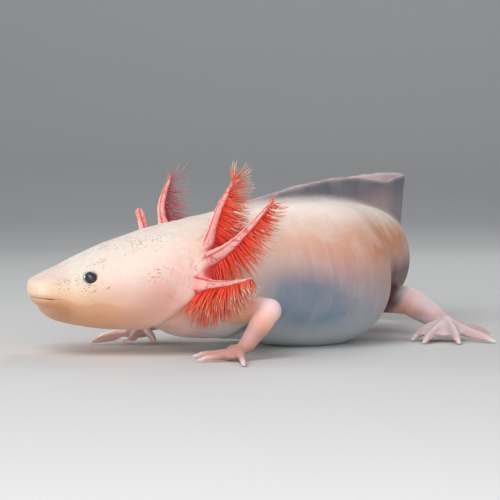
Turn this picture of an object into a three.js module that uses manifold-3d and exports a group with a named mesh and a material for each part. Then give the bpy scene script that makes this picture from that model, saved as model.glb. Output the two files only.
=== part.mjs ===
/**
 * Life-size still model of a plump adult axolotl, resting on its belly, four feet and tail.
 *
 * Millimetres, +Z up, floor at z = 0, origin at the middle of the flat under the belly.
 * The snout points to -X and a little to -Y, the back half bends away to +Y, and the tail
 * folds back behind the body. The animal's left side faces -Y.
 *
 * The body is one loft along the spine, built length by length with a thin gap between
 * neighbours. Fins, limbs and gills are lofted the same way and trimmed by the body grown
 * by that gap, so neighbours meet without overlap.
 */
import * as THREE from 'three';
import { LoftGeometry } from 'three/addons/geometries/LoftGeometry.js';
import { mergeVertices } from 'three/addons/utils/BufferGeometryUtils.js';
import Module from 'manifold-3d';

const wasm = await Module();
wasm.setup();
const { Manifold, Mesh: SolidMesh } = wasm;

// ---------------------------------------------------------------- driving dimensions

const GAP = 0.3; // clearance between neighbouring pieces

// Landmarks of the spine seen from above, from the snout to the tip of the tail.
const SPINE_LANDMARKS = [
  [-60.8, -31.8], // snout
  [-44.3, -26.7], // crown
  [-28.0, -21.8], // gills
  [-17.5, -17.9], // shoulder
  [-8.5, -10.6], // chest
  [-0.4, 0.3], // belly
  [6.4, 12.4], // loin
  [12.0, 24.5], // hip
  [17.0, 36.0], // vent
  [20.0, 48.0], // tail, before the bend
  [19.9, 60.5], // tail, after the bend
  [11.5, 74.5],
  [-5.0, 86.5],
  [-27.0, 96.5],
  [-56.0, 104.0], // tip of the tail
];

// Body sections: distance behind the snout, half width, back and underside above the floor.
const SECTIONS = [
  { at: 0, half: 10.4, back: 16.8, under: 9.6 },
  { at: 5, half: 12.1, back: 18.3, under: 7.2 },
  { at: 10, half: 14.1, back: 20.8, under: 6.1 },
  { at: 15, half: 15.9, back: 23.0, under: 5.4 },
  { at: 20, half: 17.3, back: 24.8, under: 5.1 },
  { at: 26, half: 18.5, back: 26.7, under: 5.1 },
  { at: 32, half: 18.7, back: 28.1, under: 3.1 },
  { at: 38, half: 17.6, back: 29.4, under: 2.7 },
  { at: 46, half: 17.5, back: 31.0, under: 2.1 },
  { at: 56, half: 19.1, back: 31.9, under: 0.2 },
  { at: 64, half: 20.1, back: 32.2, under: -0.8 },
  { at: 72, half: 18.8, back: 32.2, under: -0.6 },
  { at: 77, half: 16.4, back: 32.0, under: 1.1 },
  { at: 82, half: 14.3, back: 31.7, under: 2.8 },
  { at: 88, half: 13.3, back: 31.2, under: 4.4 },
  { at: 98, half: 11.1, back: 30.0, under: 6.0 },
  { at: 106, half: 8.7, back: 28.6, under: 6.6 },
  { at: 113, half: 6.8, back: 26.8, under: 7.0 },
  { at: 120, half: 5.6, back: 25.2, under: 7.2 },
  { at: 128, half: 4.9, back: 23.8, under: 7.5 },
  { at: 145, half: 4.6, back: 22.0, under: 7.6 },
  { at: 165, half: 3.8, back: 19.4, under: 7.5 },
  { at: 185, half: 2.8, back: 16.4, under: 7.0 },
  { at: 205, half: 1.8, back: 13.2, under: 6.4 },
  { at: 218, half: 1.0, back: 10.4, under: 6.0 },
];

// Crest of the fins above the floor along the back and tail, and the tail fin's lower edge.
const FIN_CREST = [
  [44, 30.8], [49, 32.4], [56, 34.0], [66, 35.6], [75, 36.6], [88, 37.2], [98, 36.9], [106, 36.2],
  [113, 36.8], [123, 37.6], [137, 38.1], [152, 36.9], [163, 34.6], [173, 32.0], [185, 28.2], [197, 24.0],
  [209, 19.2], [219, 14.4], [226, 10.2], [229, 8.6],
];
const FIN_KEEL = [[124, 6.6], [134, 3.0], [146, -0.3], [200, -0.3], [214, 1.2], [224, 4.2], [229, 6.8]];
const FIN_ROOT = 1.7; // half thickness of a fin where it leaves the body
const FIN_EDGE = 0.4; // half thickness of its edge
const FIN_SINK = 2.5; // how far the fin's own loft starts inside the body
const TAIL_LEAN = 3.3; // sideways lean of the crest at its most
const TAIL_BEND = 119; // distance behind the snout where it leans most
const LEAN_LENGTH = 23; // over which the lean dies away

const NOSE_LENGTH = 5; // the snout rounds off over this length
const NOSE_ROUND = 2.5; // power of its rounding
// Height of the widest point as a share of the body's depth, along the body.
const WIDEST = [[0, 0.72], [5, 0.56], [12, 0.46], [60, 0.42], [78, 0.45], [98, 0.6], [118, 0.53], [220, 0.5]];
const BACK_POWER = 2.15; // roundness of the back
// Roundness of the underside, along the body.
const UNDER_POWER = [[0, 2.4], [36, 2.35], [50, 2.1], [64, 2.1], [78, 2], [98, 1.9], [220, 2]];

// Lengths of the body: name, ends behind the snout, points round each ring, ring spacing.
const LENGTHS = [
  { name: 'head', from: 0, to: 35.5, count: 22, step: 5 },
  { name: 'neck', from: 35.5, to: 45, count: 22, step: 4.8 },
  { name: 'chest', from: 45, to: 62, count: 22, step: 4.3 },
  { name: 'belly', from: 62, to: 88, count: 22, step: 4.4 },
  { name: 'pelvis', from: 88, to: 118, count: 20, step: 4.3 },
  { name: 'tail_base', from: 118, to: 150, count: 14, step: 4 },
  { name: 'tail_middle', from: 150, to: 190, count: 12, step: 5.8 },
  { name: 'tail_end', from: 190, to: 220, count: 10, step: 7.5 },
];
const NOSE_RINGS = [0.12, 0.7, 1.9, 3.7]; // closer rings where the snout rounds off
const FIN_TIP = 229;

// The mouth and the lower jaw's rear edge in profile: distance behind the snout and height.
const MOUTH_LINE = [[-4, 12.4], [5, 12.2], [10, 11.4], [16.5, 11.5], [21, 9.4], [26, 7.4], [32, -1]];

const EYE = { at: 10.1, side: 12.15, up: 16.6, radius: 1.5 };

// Gill stalks by their root, middle and tip, and the way their filaments hang: distance behind
// the snout, distance to the side and height. `length` is that of the longest filaments.
const GILLS = [
  { name: 'gill_left_upper', side: 1, stalk: [[34.6, 13.2, 22.6], [36.6, 16.8, 31.2], [39.7, 19.8, 39.3]],
    hang: [1, 0.25, 0.05], length: 6.8 },
  { name: 'gill_left_middle', side: 1, stalk: [[33.4, 15.8, 19.6], [37.6, 22.0, 23.4], [43.0, 26.2, 32.6]],
    hang: [0.8, 0.2, -0.6], length: 7.2 },
  { name: 'gill_left_lower', side: 1, stalk: [[31.8, 16.2, 14.8], [35.4, 22.6, 15.4], [40.0, 26.4, 16.8]],
    hang: [-0.4, 0, -1], length: 7.8 },
  { name: 'gill_right_upper', side: -1, stalk: [[33.0, 12.5, 24.2], [33.1, 16.6, 31.0], [35.8, 19.0, 37.4]],
    hang: [1, 0.25, 0.1], length: 6.0 },
  { name: 'gill_right_middle', side: -1, stalk: [[31.9, 15.5, 20.4], [30.9, 21.6, 23.4], [30.1, 26.0, 29.2]],
    hang: [0.8, 0.2, -0.6], length: 4.2 },
  { name: 'gill_right_lower', side: -1, stalk: [[33.0, 15.8, 15.6], [34.2, 22.6, 15.4], [37.6, 26.6, 16.6]],
    hang: [0.2, 0, -1], length: 7.4 },
];
const STALK = { root: 1.9, tip: 0.5, sides: 6, step: 6 };
const FILAMENT = { pairs: 6, root: 0.46, tip: 0.32, spread: 32, curl: 0.35, sides: 3 };

// Legs: joints and digit tips from above and above the floor, with the radius at each joint.
const LEGS = [
  {
    names: ['upper_arm_left', 'forearm_left', 'hand_left'],
    hip: [-21.5, -31.5, 9.2], knee: [-10.5, -41.4, 10.0],
    ankle: [-14.9, -45.0, 3.5], palm: [-16.8, -46.3, 1.8],
    radii: [3.1, 2.8, 2.6, 1.9, 1.9],
    digits: [[-19.6, -39.6], [-26.2, -41.0], [-25.0, -50.0], [-15.7, -59.6]],
  },
  {
    names: ['upper_arm_right', 'forearm_right', 'hand_right'],
    hip: [-24.0, -7.5, 10.5], knee: [-27.0, 7.6, 10.4], ankle: [-36.6, 0.2, 4.4], palm: [-38.8, -2.5, 2.9],
    radii: [3.4, 2.9, 2.8, 2.0, 2.0],
    digits: [[-35.6, -8.8], [-42.8, -11.4], [-49.9, -8.4], [-49.2, 7.6]],
  },
  {
    names: ['thigh_left', 'shin_left', 'foot_left'],
    hip: [10.5, 21.0, 8.4], knee: [22.6, 12.6, 8.4], ankle: [28.2, 8.0, 5.0], palm: [30.6, 4.6, 3.5],
    radii: [3.7, 3.5, 3.4, 2.8, 2.7],
    digits: [[22.2, -0.6], [24.2, -8.0], [32.0, -9.6], [40.4, -6.4], [41.4, 13.0]],
  },
  {
    names: ['thigh_right', 'shin_right', 'foot_right'],
    hip: [9.0, 26.0, 9.0], knee: [-4.6, 33.0, 9.4], ankle: [-9.2, 36.0, 4.6], palm: [-12.4, 37.4, 3.2],
    radii: [3.7, 3.5, 3.4, 2.8, 2.7],
    digits: [[-10.6, 27.4], [-18.4, 29.4], [-22.6, 35.6], [-21.6, 44.6], [-10.4, 47.6]],
  },
];
const DIGIT = { root: 1.1, tip: 0.52, knuckle: 0.75, rise: 0.35, endUp: 0.3, tipUp: 0.1, sides: 4 };

const COLOURS = {
  skin: '#efd5c8', jaw: '#e9bd97', belly: '#e6d6d2', fin: '#c9c2d0', limb: '#eab9a4', gill: '#d8503c',
  eye: '#26262c',
};

// ---------------------------------------------------------------- curves and sections

const { cos, sin, sign, abs, min, max, PI, hypot } = Math;

/** Smooth curve through [x, y] pairs that never overshoots them. */
function curve(pairs) {
  const slope = pairs.map((p, i) => {
    if (i === 0 || i === pairs.length - 1) return 0;
    const before = (p[1] - pairs[i - 1][1]) / (p[0] - pairs[i - 1][0]);
    const after = (pairs[i + 1][1] - p[1]) / (pairs[i + 1][0] - p[0]);
    return before * after <= 0 ? 0 : (2 * before * after) / (before + after);
  });
  return (x) => {
    const last = pairs.length - 2;
    const next = pairs.findIndex((p) => p[0] > x);
    const k = next < 0 ? last : max(0, next - 1);
    const [x0, y0] = pairs[k];
    const [x1, y1] = pairs[k + 1];
    const t = THREE.MathUtils.clamp((x - x0) / (x1 - x0), 0, 1);
    const span = x1 - x0;
    const rise = (y1 - y0) * t * t * (3 - 2 * t);
    const ease = t * (1 - t) * (slope[k] * (1 - t) - slope[k + 1] * t) * span;
    return y0 + rise + ease;
  };
}

const spine = new THREE.CatmullRomCurve3(
  SPINE_LANDMARKS.map(([x, y]) => new THREE.Vector3(x, y, 0)), false, 'centripetal');
spine.arcLengthDivisions = 1200;
const SPINE_LENGTH = spine.getLength();

/** Place, backward direction and direction to the animal's left at a distance behind the snout. */
function spineFrame(at) {
  const u = THREE.MathUtils.clamp(at / SPINE_LENGTH, 0, 1);
  const place = spine.getPointAt(u);
  const back = spine.getTangentAt(u);
  const left = new THREE.Vector3(back.y, -back.x, 0);
  place.addScaledVector(back, at - u * SPINE_LENGTH);
  return { place, back, left };
}

/** Point beside the spine: distance behind the snout, to the left and above the floor. */
function beside(at, left, up) {
  const frame = spineFrame(at);
  return frame.place.clone().addScaledVector(frame.left, left).setZ(up);
}

const halfWidth = curve(SECTIONS.map((s) => [s.at, s.half]));
const backHeight = curve(SECTIONS.map((s) => [s.at, s.back]));
const underHeight = curve(SECTIONS.map((s) => [s.at, s.under]));
const widest = curve(WIDEST);
const underPower = curve(UNDER_POWER);
const crest = curve(FIN_CREST);
const keel = curve(FIN_KEEL);

/** Share of the full section that the rounding of the snout leaves. */
function noseShare(at) {
  const t = max(0, 1 - at / NOSE_LENGTH);
  return (1 - t ** NOSE_ROUND) ** (1 / NOSE_ROUND);
}

/** Ring of the body at a distance behind the snout, grown outward by `grow`. */
function bodyRing(at, grow, count) {
  const share = noseShare(max(at, 0.12));
  const top = backHeight(at);
  const low = underHeight(at);
  const middle = low + widest(at) * (top - low);
  const side = halfWidth(at) * share + grow;
  return Array.from({ length: count }, (_, i) => {
    const angle = (-2 * PI * (i + 0.5)) / count;
    const power = sin(angle) > 0 ? BACK_POWER : underPower(at);
    const reach = (sin(angle) > 0 ? top - middle : middle - low) * share + grow;
    const across = side * sign(cos(angle)) * abs(cos(angle)) ** (2 / power);
    const up = middle + reach * sign(sin(angle)) * abs(sin(angle)) ** (2 / power);
    return beside(at, across, up);
  });
}

/** Evenly spaced distances between two ends, both included. */
function steps(from, to, step) {
  const count = max(1, Math.round((to - from) / step));
  return Array.from({ length: count + 1 }, (_, i) => from + ((to - from) * i) / count);
}

/** Merged closed manifold of a geometry. */
function solid(geometry) {
  const bare = new THREE.BufferGeometry();
  bare.setAttribute('position', geometry.getAttribute('position'));
  bare.setIndex(geometry.index);
  const merged = mergeVertices(bare, 1e-5);
  return new Manifold(new SolidMesh({
    numProp: 3,
    vertProperties: new Float32Array(merged.attributes.position.array),
    triVerts: new Uint32Array(merged.index.array),
  }));
}

/** Closed loft through rings that run counterclockwise seen from the loft's end. */
function loft(rings) {
  return solid(new LoftGeometry(rings, { capStart: true, capEnd: true }));
}

/** Loft of one length of the body, grown by `grow` and starting and ending `inset` short. */
function bodyLength({ from, to, count, step }, inset = 0, grow = 0) {
  const places = from === 0
    ? [...NOSE_RINGS, ...steps(NOSE_LENGTH, to - inset, step)]
    : steps(from + inset, to - inset, step);
  return loft(places.map((at) => bodyRing(at, grow, count)));
}

/** Tube along points with a radius at each, its ends rounded. */
function tube(points, radii, { grow = 0, sides = 8, step = 3.8, flat = 1 } = {}) {
  const path = new THREE.CatmullRomCurve3(points, false, 'centripetal');
  const length = path.getLength();
  const radius = curve(radii.map((r, i) => [i / (radii.length - 1), r]));
  const ring = (u, shift, share) => {
    const along = path.getTangentAt(u);
    const side = new THREE.Vector3(0, 0, 1).cross(along).normalize();
    const up = along.clone().cross(side);
    const centre = path.getPointAt(u).addScaledVector(along, shift);
    const r = (radius(u) + grow) * share;
    return Array.from({ length: sides }, (_, i) => {
      const angle = (2 * PI * (i + 0.5)) / sides;
      return centre.clone().addScaledVector(side, r * cos(angle)).addScaledVector(up, r * flat * sin(angle));
    });
  };
  const last = radii[radii.length - 1] + grow;
  const middle = steps(0, length, step).map((at) => ring(at / length, 0, 1));
  const dome = [30, 62].map((degrees) => (degrees * PI) / 180);
  const end = dome.map((angle) => ring(1, last * sin(angle), cos(angle)));
  return loft([ring(0, -0.6 * radii[0], 0.6), ...middle, ...end]);
}

/** Pointed feeler or digit: one ring per point, the last one the smallest. */
function spike(points, radii, sides) {
  const last = points.length - 1;
  return loft(points.map((point, i) => {
    const along = points[min(i + 1, last)].clone().sub(points[max(i - 1, 0)]).normalize();
    const side = new THREE.Vector3(0, 0, 1).cross(along).normalize();
    const up = along.clone().cross(side);
    return Array.from({ length: sides }, (_, k) => {
      const angle = (2 * PI * (k + 0.5)) / sides;
      return point.clone().addScaledVector(side, radii[i] * cos(angle))
        .addScaledVector(up, radii[i] * sin(angle));
    });
  }));
}

const JOIN = -0.02; // neighbouring lengths of the grown body reach into each other by this
const grownBody = LENGTHS.map((length) => bodyLength(length, JOIN, GAP)).reduce((all, next) => all.add(next));

const FLOOR_BLOCK = 600;
const underFloor = solid(new THREE.BoxGeometry(FLOOR_BLOCK, FLOOR_BLOCK, FLOOR_BLOCK)
  .translate(0, 0, -FLOOR_BLOCK / 2));

// ---------------------------------------------------------------- pieces

const root = new THREE.Group();
root.name = 'axolotl';

/** Adds a solid to the model as a named piece of one colour. */
function addPiece(name, shape, colour, roughness = 0.45) {
  const mesh = shape.getMesh();
  const geometry = new THREE.BufferGeometry();
  geometry.setAttribute('position', new THREE.BufferAttribute(mesh.vertProperties, 3));
  geometry.setIndex(new THREE.BufferAttribute(mesh.triVerts, 1));
  geometry.computeVertexNormals();
  const material = new THREE.MeshStandardMaterial({ color: colour, roughness, metalness: 0 });
  material.name = `${name}_skin`;
  const piece = new THREE.Mesh(geometry, material);
  piece.name = name;
  root.add(piece);
}

/** Everything below the mouth line moved up by `rise`, as a block wider than the head. */
function belowMouth(rise) {
  const width = 60;
  const outline = [...MOUTH_LINE, [MOUTH_LINE[0][0], -1]];
  const shape = new THREE.Shape(outline.map(([at, up]) => new THREE.Vector2(at, up + rise)));
  const block = new THREE.ExtrudeGeometry(shape, { depth: width, bevelEnabled: false });
  const { place, back, left } = spineFrame(0);
  const basis = new THREE.Matrix4().makeBasis(back, new THREE.Vector3(0, 0, 1), left);
  basis.setPosition(place.clone().addScaledVector(left, -width / 2));
  return solid(block.applyMatrix4(basis));
}

/** Ball of the given radius. */
function ball(centre, radius, segments) {
  return solid(new THREE.SphereGeometry(radius, segments, Math.round(segments * 0.7))
    .rotateX(PI / 2).translate(centre.x, centre.y, centre.z));
}

function addHead() {
  let skull = bodyLength(LENGTHS[0], GAP / 2);
  for (const [name, side] of [['eye_left', 1], ['eye_right', -1]]) {
    const centre = beside(EYE.at, side * EYE.side, EYE.up);
    skull = skull.subtract(ball(centre, EYE.radius + GAP, 9));
    addPiece(name, ball(centre, EYE.radius, 9), COLOURS.eye, 0.1);
  }
  addPiece('head', skull.subtract(belowMouth(GAP / 2)), COLOURS.skin);
  addPiece('lower_jaw', skull.intersect(belowMouth(-GAP / 2)), COLOURS.jaw);
}

function addBody() {
  for (const length of LENGTHS.slice(1)) {
    const colour = length.name === 'belly' ? COLOURS.belly : COLOURS.skin;
    addPiece(length.name, bodyLength(length, GAP / 2).subtract(underFloor), colour);
  }
}

/** Half thickness of a fin where it leaves the body. */
function finRoot(at) {
  return min(FIN_ROOT, 0.55 * halfWidth(at));
}

/** Upright fin along the spine, from `inner` inside the body out to `outer`, leaning by `lean`. */
function finStrip(places, { inner, outer, lean }) {
  return loft(places.map((at) => {
    const low = inner(at);
    const high = outer(at);
    const turn = high > low ? 1 : -1;
    const rows = [[finRoot(at), 0], [FIN_EDGE, 1]];
    const point = (half, share) => beside(at, turn * half + lean(at) * share, low + (high - low) * share);
    return [...rows.map(([half, share]) => point(-half, share)),
      ...rows.slice().reverse().map(([half, share]) => point(half, share))];
  }));
}

/** Fin round the end of the tail, from its lower edge to its crest. */
function finRound(places) {
  return loft(places.map((at) => {
    const middle = 0.5 * (backHeight(at) + underHeight(at));
    const rows = [[FIN_EDGE, keel(at)], [finRoot(at), middle], [FIN_EDGE, crest(at)]];
    return [...rows.map(([half, up]) => beside(at, -half, up)),
      ...rows.slice().reverse().map(([half, up]) => beside(at, half, up))];
  }));
}

function addFins() {
  const lean = (at) => TAIL_LEAN * Math.exp(-(((at - TAIL_BEND) / LEAN_LENGTH) ** 2));
  const sink = (at) => min(FIN_SINK, 0.35 * (backHeight(at) - underHeight(at)));
  const above = { inner: (at) => backHeight(at) - sink(at), outer: crest, lean };
  const below = { inner: (at) => underHeight(at) + sink(at), outer: keel, lean: () => 0 };
  const [tailBase, tailMiddle, tailEnd] = LENGTHS.slice(-3);
  const strips = [
    ['dorsal_fin', 46, tailBase.from, 6.5, above],
    ['tail_fin_upper_front', tailBase.from, tailBase.to, 5.2, above],
    ['tail_fin_upper_middle', tailMiddle.from, tailMiddle.to, 7, above],
    ['tail_fin_lower_front', tailBase.from + 7, tailBase.to, 5.2, below],
    ['tail_fin_lower_middle', tailMiddle.from, tailMiddle.to, 7, below],
  ];
  const trim = (fin) => fin.subtract(grownBody).subtract(underFloor);
  for (const [name, from, to, step, edges] of strips) {
    addPiece(name, trim(finStrip(steps(from + GAP / 2, to - GAP / 2, step), edges)), COLOURS.fin, 0.35);
  }
  addPiece('tail_fin_end', trim(finRound(steps(tailEnd.from + GAP / 2, FIN_TIP, 6.5))), COLOURS.fin, 0.35);
}

/** A leg in three pieces: its upper and lower lengths, and the paw with its digits. */
function addLeg({ names, hip, knee, ankle, palm, radii, digits }) {
  const [hipR, kneeR, shinR, ankleR, palmR] = radii;
  const at = (p) => new THREE.Vector3(...p);
  const upper = (grow) => tube([at(hip), at(knee)], [hipR, 0.5 * (hipR + kneeR), kneeR], { grow });
  const lower = (grow) => tube([at(knee), at(ankle)], [shinR, 0.5 * (shinR + ankleR), ankleR], { grow });
  let paw = tube([at(ankle), at(palm)], [ankleR * 0.85, palmR, palmR], { flat: 0.62, step: 3 });
  for (const [x, y] of digits) {
    const tip = new THREE.Vector3(x, y, DIGIT.tipUp);
    const start = at(palm);
    const bend = start.clone().lerp(tip, 0.55).setZ(DIGIT.knuckle + DIGIT.rise * palm[2]);
    const end = bend.clone().lerp(tip, 0.85).setZ(DIGIT.endUp);
    paw = paw.add(spike([start, bend, end, tip],
      [DIGIT.root, 0.8 * DIGIT.root, DIGIT.tip, 0.5 * DIGIT.tip], DIGIT.sides));
  }
  addPiece(names[0], upper(0).subtract(grownBody).subtract(underFloor), COLOURS.limb);
  addPiece(names[1], lower(0).subtract(upper(GAP)).subtract(grownBody).subtract(underFloor), COLOURS.limb);
  addPiece(names[2], paw.subtract(lower(GAP)).subtract(underFloor), COLOURS.limb);
}

/** One gill: a curved stalk with two rows of filaments along its hanging edge. */
function addGill({ name, side, stalk, hang, length }) {
  const points = stalk.map(([at, out, up]) => beside(at, side * out, up));
  const path = new THREE.CatmullRomCurve3(points, false, 'centripetal');
  let gill = tube(points, [STALK.root, 0.55 * STALK.root, STALK.tip], STALK);
  const { back, left } = spineFrame(stalk[0][0]);
  const down = back.clone().multiplyScalar(hang[0]).addScaledVector(left, side * hang[1]).setZ(hang[2]);
  for (let i = 0; i < FILAMENT.pairs; i += 1) {
    const u = 0.3 + (0.66 * i) / (FILAMENT.pairs - 1);
    const along = path.getTangentAt(u);
    const away = down.clone().addScaledVector(along, -down.dot(along)).normalize();
    const across = along.clone().cross(away);
    const reach = length * (1 - 0.4 * u) * (0.7 + 0.45 * sin(PI * u));
    for (const row of [-1, 1]) {
      const spread = (row * FILAMENT.spread * PI) / 180;
      const out = away.clone().multiplyScalar(cos(spread)).addScaledVector(across, sin(spread));
      const from = path.getPointAt(u);
      const bend = from.clone().addScaledVector(out, 0.6 * reach).addScaledVector(along, 0.1 * reach);
      const tip = from.clone().addScaledVector(out, reach).addScaledVector(along, FILAMENT.curl * reach);
      gill = gill.add(spike([from, bend, tip], [FILAMENT.root, FILAMENT.root, FILAMENT.tip], FILAMENT.sides));
    }
  }
  addPiece(name, gill.subtract(grownBody), COLOURS.gill, 0.5);
}

addHead();
addBody();
addFins();
LEGS.forEach(addLeg);
GILLS.forEach(addGill);

export default root;
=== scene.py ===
"""Life-size still model of a plump, pale adult axolotl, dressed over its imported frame.

One skin covers the head, body, fins, legs and gill stalks. It is worked out from lofted
surfaces along the spine and limbs, fused into one closed form, creased and folded by
functions of the place on the animal, and coloured by fields that follow the body.
The eyes and the gill filaments are pieces of their own.

Lengths are millimetres in the frame's own axes (+Z up, floor at 0, snout towards -X) and
become metres only where a mesh is made.
"""
import logging
import math
from dataclasses import dataclass, field
from enum import Enum
from typing import Callable, Sequence

import bpy
import numpy as np
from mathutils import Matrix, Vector


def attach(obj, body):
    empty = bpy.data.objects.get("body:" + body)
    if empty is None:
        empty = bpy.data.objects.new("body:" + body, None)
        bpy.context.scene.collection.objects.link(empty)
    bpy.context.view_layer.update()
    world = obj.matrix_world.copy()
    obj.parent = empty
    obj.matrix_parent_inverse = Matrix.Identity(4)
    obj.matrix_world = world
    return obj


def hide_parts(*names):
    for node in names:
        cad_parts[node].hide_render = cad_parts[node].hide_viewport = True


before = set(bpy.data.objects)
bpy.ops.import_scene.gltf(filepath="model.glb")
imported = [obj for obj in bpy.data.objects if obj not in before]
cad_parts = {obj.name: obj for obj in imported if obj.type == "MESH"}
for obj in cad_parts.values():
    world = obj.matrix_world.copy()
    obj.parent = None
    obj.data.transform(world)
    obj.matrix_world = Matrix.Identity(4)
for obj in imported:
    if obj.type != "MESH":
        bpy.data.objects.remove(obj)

LOG = logging.getLogger("axolotl")
MM = 0.001  # metres in a millimetre
RING_STEP = 0.5  # millimetres between the rings of a limb's tube
FIRST_SEED = 11  # start of the random variation of the first gill's threads
Array = np.ndarray


# ------------------------------------------------------------------ small mathematics


def smoothstep(low: float, high: float, x: Array) -> Array:
    """Eased ramp: 0 below low, 1 above high, 3t^2 - 2t^3 between them; low may be the larger."""
    t = np.clip((x - low) / (high - low), 0.0, 1.0)
    return t * t * (3.0 - 2.0 * t)


def bell(x: Array, centre: float | Array, width: float | Array) -> Array:
    """Bell curve exp(-((x - centre) / width)^2)."""
    return np.exp(-(((x - centre) / width) ** 2))


def window(x: Array, rise: tuple[float, float], fall: tuple[float, float]) -> Array:
    """Eased window: up from 0 to 1 over the rise, and down again over the fall."""
    return smoothstep(*rise, x) * smoothstep(fall[1], fall[0], x)


def unit(vectors: Array) -> Array:
    """Vectors along the last axis divided by their lengths."""
    return vectors / np.maximum(np.linalg.norm(vectors, axis=-1, keepdims=True), 1e-12)


def monotone(pairs: Sequence[tuple[float, float]]) -> Callable[[Array], Array]:
    """Smooth curve through pairs that never overshoots them.

    Each span is a cubic whose end slopes are the harmonic means of the slopes on both
    sides, and zero at turning points and ends.

    Args:
        pairs: places and values, by rising place.

    Returns:
        Function from an array of places to an array of values.
    """
    xs, ys = np.array(pairs, float).T
    slopes = np.diff(ys) / np.diff(xs)
    inner = np.zeros(len(xs))
    before, after = slopes[:-1], slopes[1:]
    same = before * after > 0
    inner[1:-1][same] = 2 * (before * after)[same] / (before + after)[same]

    def value(x: Array) -> Array:
        """Value of the curve at x.

        Args:
            x: places along the curve; past its ends the end values hold.

        Returns:
            The values.
        """
        x = np.asarray(x, float)
        k = np.clip(np.searchsorted(xs, x, side="right") - 1, 0, len(xs) - 2)
        span = xs[k + 1] - xs[k]
        t = np.clip((x - xs[k]) / span, 0.0, 1.0)
        rise = (ys[k + 1] - ys[k]) * t * t * (3 - 2 * t)
        ease = t * (1 - t) * (inner[k] * (1 - t) - inner[k + 1] * t) * span
        return ys[k] + rise + ease

    return value


def centripetal(points: Array, per_span: int = 40) -> Array:
    """Dense points on the centripetal Catmull-Rom curve through some points.

    Each span is the cubic with the tangents of that curve, whose knots are spaced by the
    square root of the distance between points.

    Args:
        points: the points that the curve passes, as rows.
        per_span: how many points are worked out between two of them.

    Returns:
        Points along the curve as rows, with the last point included.
    """
    p = np.asarray(points, float)
    p = np.vstack([2 * p[0] - p[1], p, 2 * p[-1] - p[-2]])
    p0, p1, p2, p3 = p[:-3, None], p[1:-2, None], p[2:-1, None], p[3:, None]
    spans = ((p0, p1), (p1, p2), (p2, p3))
    d0, d1, d2 = (np.sqrt(np.linalg.norm(b - a, axis=-1, keepdims=True)) for a, b in spans)
    m1 = ((p1 - p0) / d0 - (p2 - p0) / (d0 + d1) + (p2 - p1) / d1) * d1
    m2 = ((p2 - p1) / d1 - (p3 - p1) / (d1 + d2) + (p3 - p2) / d2) * d1
    t = np.linspace(0, 1, per_span, endpoint=False)[None, :, None]
    curve = p1 + m1 * t + (-3 * p1 + 3 * p2 - 2 * m1 - m2) * t**2 + (2 * p1 - 2 * p2 + m1 + m2) * t**3
    return np.vstack([curve.reshape(-1, p.shape[1]), p[-2:-1]])


@dataclass
class Path:
    """A curve through points, walked by its length.

    Attributes:
        points: the points that it passes, as rows of two or three coordinates.
        marks: how many even places stand for the curve where the nearest one is looked up.
    """

    points: Array
    marks: int = 60
    dense: Array = field(init=False)
    lengths: Array = field(init=False)

    def __post_init__(self) -> None:
        """Works out dense points on the curve and their distances from its start."""
        self.dense = centripetal(self.points)
        steps = np.linalg.norm(np.diff(self.dense, axis=0), axis=1)
        self.lengths = np.concatenate([[0.0], np.cumsum(steps)])

    @property
    def length(self) -> float:
        """Length of the curve."""
        return float(self.lengths[-1])

    def at(self, share: Array) -> Array:
        """Points at shares of the length, 0 to 1."""
        s = np.asarray(share, float) * self.length
        return np.stack([np.interp(s, self.lengths, c) for c in self.dense.T], axis=-1)

    def along(self, share: Array) -> Array:
        """Unit directions of the curve at shares of the length."""
        share = np.asarray(share, float)
        return unit(self.at(np.minimum(share + 0.004, 1)) - self.at(np.maximum(share - 0.004, 0)))

    def nearest(self, points: Array) -> tuple[Array, Array]:
        """Looks up the nearest place on the curve to each point.

        Args:
            points: points as rows.

        Returns:
            The places as shares of the length, and the distances to them.
        """
        shares = np.linspace(0, 1, self.marks)
        gap = np.linalg.norm(points[:, None] - self.at(shares)[None], axis=2)
        near = gap.argmin(axis=1)
        return shares[near], gap[np.arange(len(points)), near]


# ------------------------------------------------------------------ meshes


@dataclass
class Shell:
    """Points and triangles of a closed surface, its faces turned outwards."""

    points: Array
    triangles: Array

    @staticmethod
    def joined(shells: Sequence["Shell"]) -> "Shell":
        """All shells as one.

        Args:
            shells: the shells to put together.

        Returns:
            One shell with all their points and triangles.
        """
        starts = np.cumsum([0] + [len(s.points) for s in shells[:-1]])
        return Shell(
            np.vstack([s.points for s in shells]),
            np.vstack([s.triangles + start for s, start in zip(shells, starts)]),
        )


def loft(rings: Array) -> Shell:
    """Closed surface through rings, which run counterclockwise seen from its end.

    Args:
        rings: array of rings x points x 3.

    Returns:
        The shell, closed at each end by a fan round the ring's middle.
    """
    n, k = rings.shape[:2]
    i, j = np.meshgrid(np.arange(n - 1), np.arange(k), indexing="ij")
    a, b = i * k + j, i * k + (j + 1) % k
    quads = np.stack([a, b, b + k, a + k], axis=-1).reshape(-1, 4)
    walls = np.vstack([quads[:, [0, 1, 2]], quads[:, [0, 2, 3]]])
    rim = np.arange(k)
    start = np.stack([np.full(k, n * k), (rim + 1) % k, rim], axis=1)
    end = np.stack([np.full(k, n * k + 1), (n - 1) * k + rim, (n - 1) * k + (rim + 1) % k], axis=1)
    points = np.vstack([rings.reshape(-1, 3), rings[0].mean(0), rings[-1].mean(0)])
    return Shell(points, np.vstack([walls, start, end]))


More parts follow.
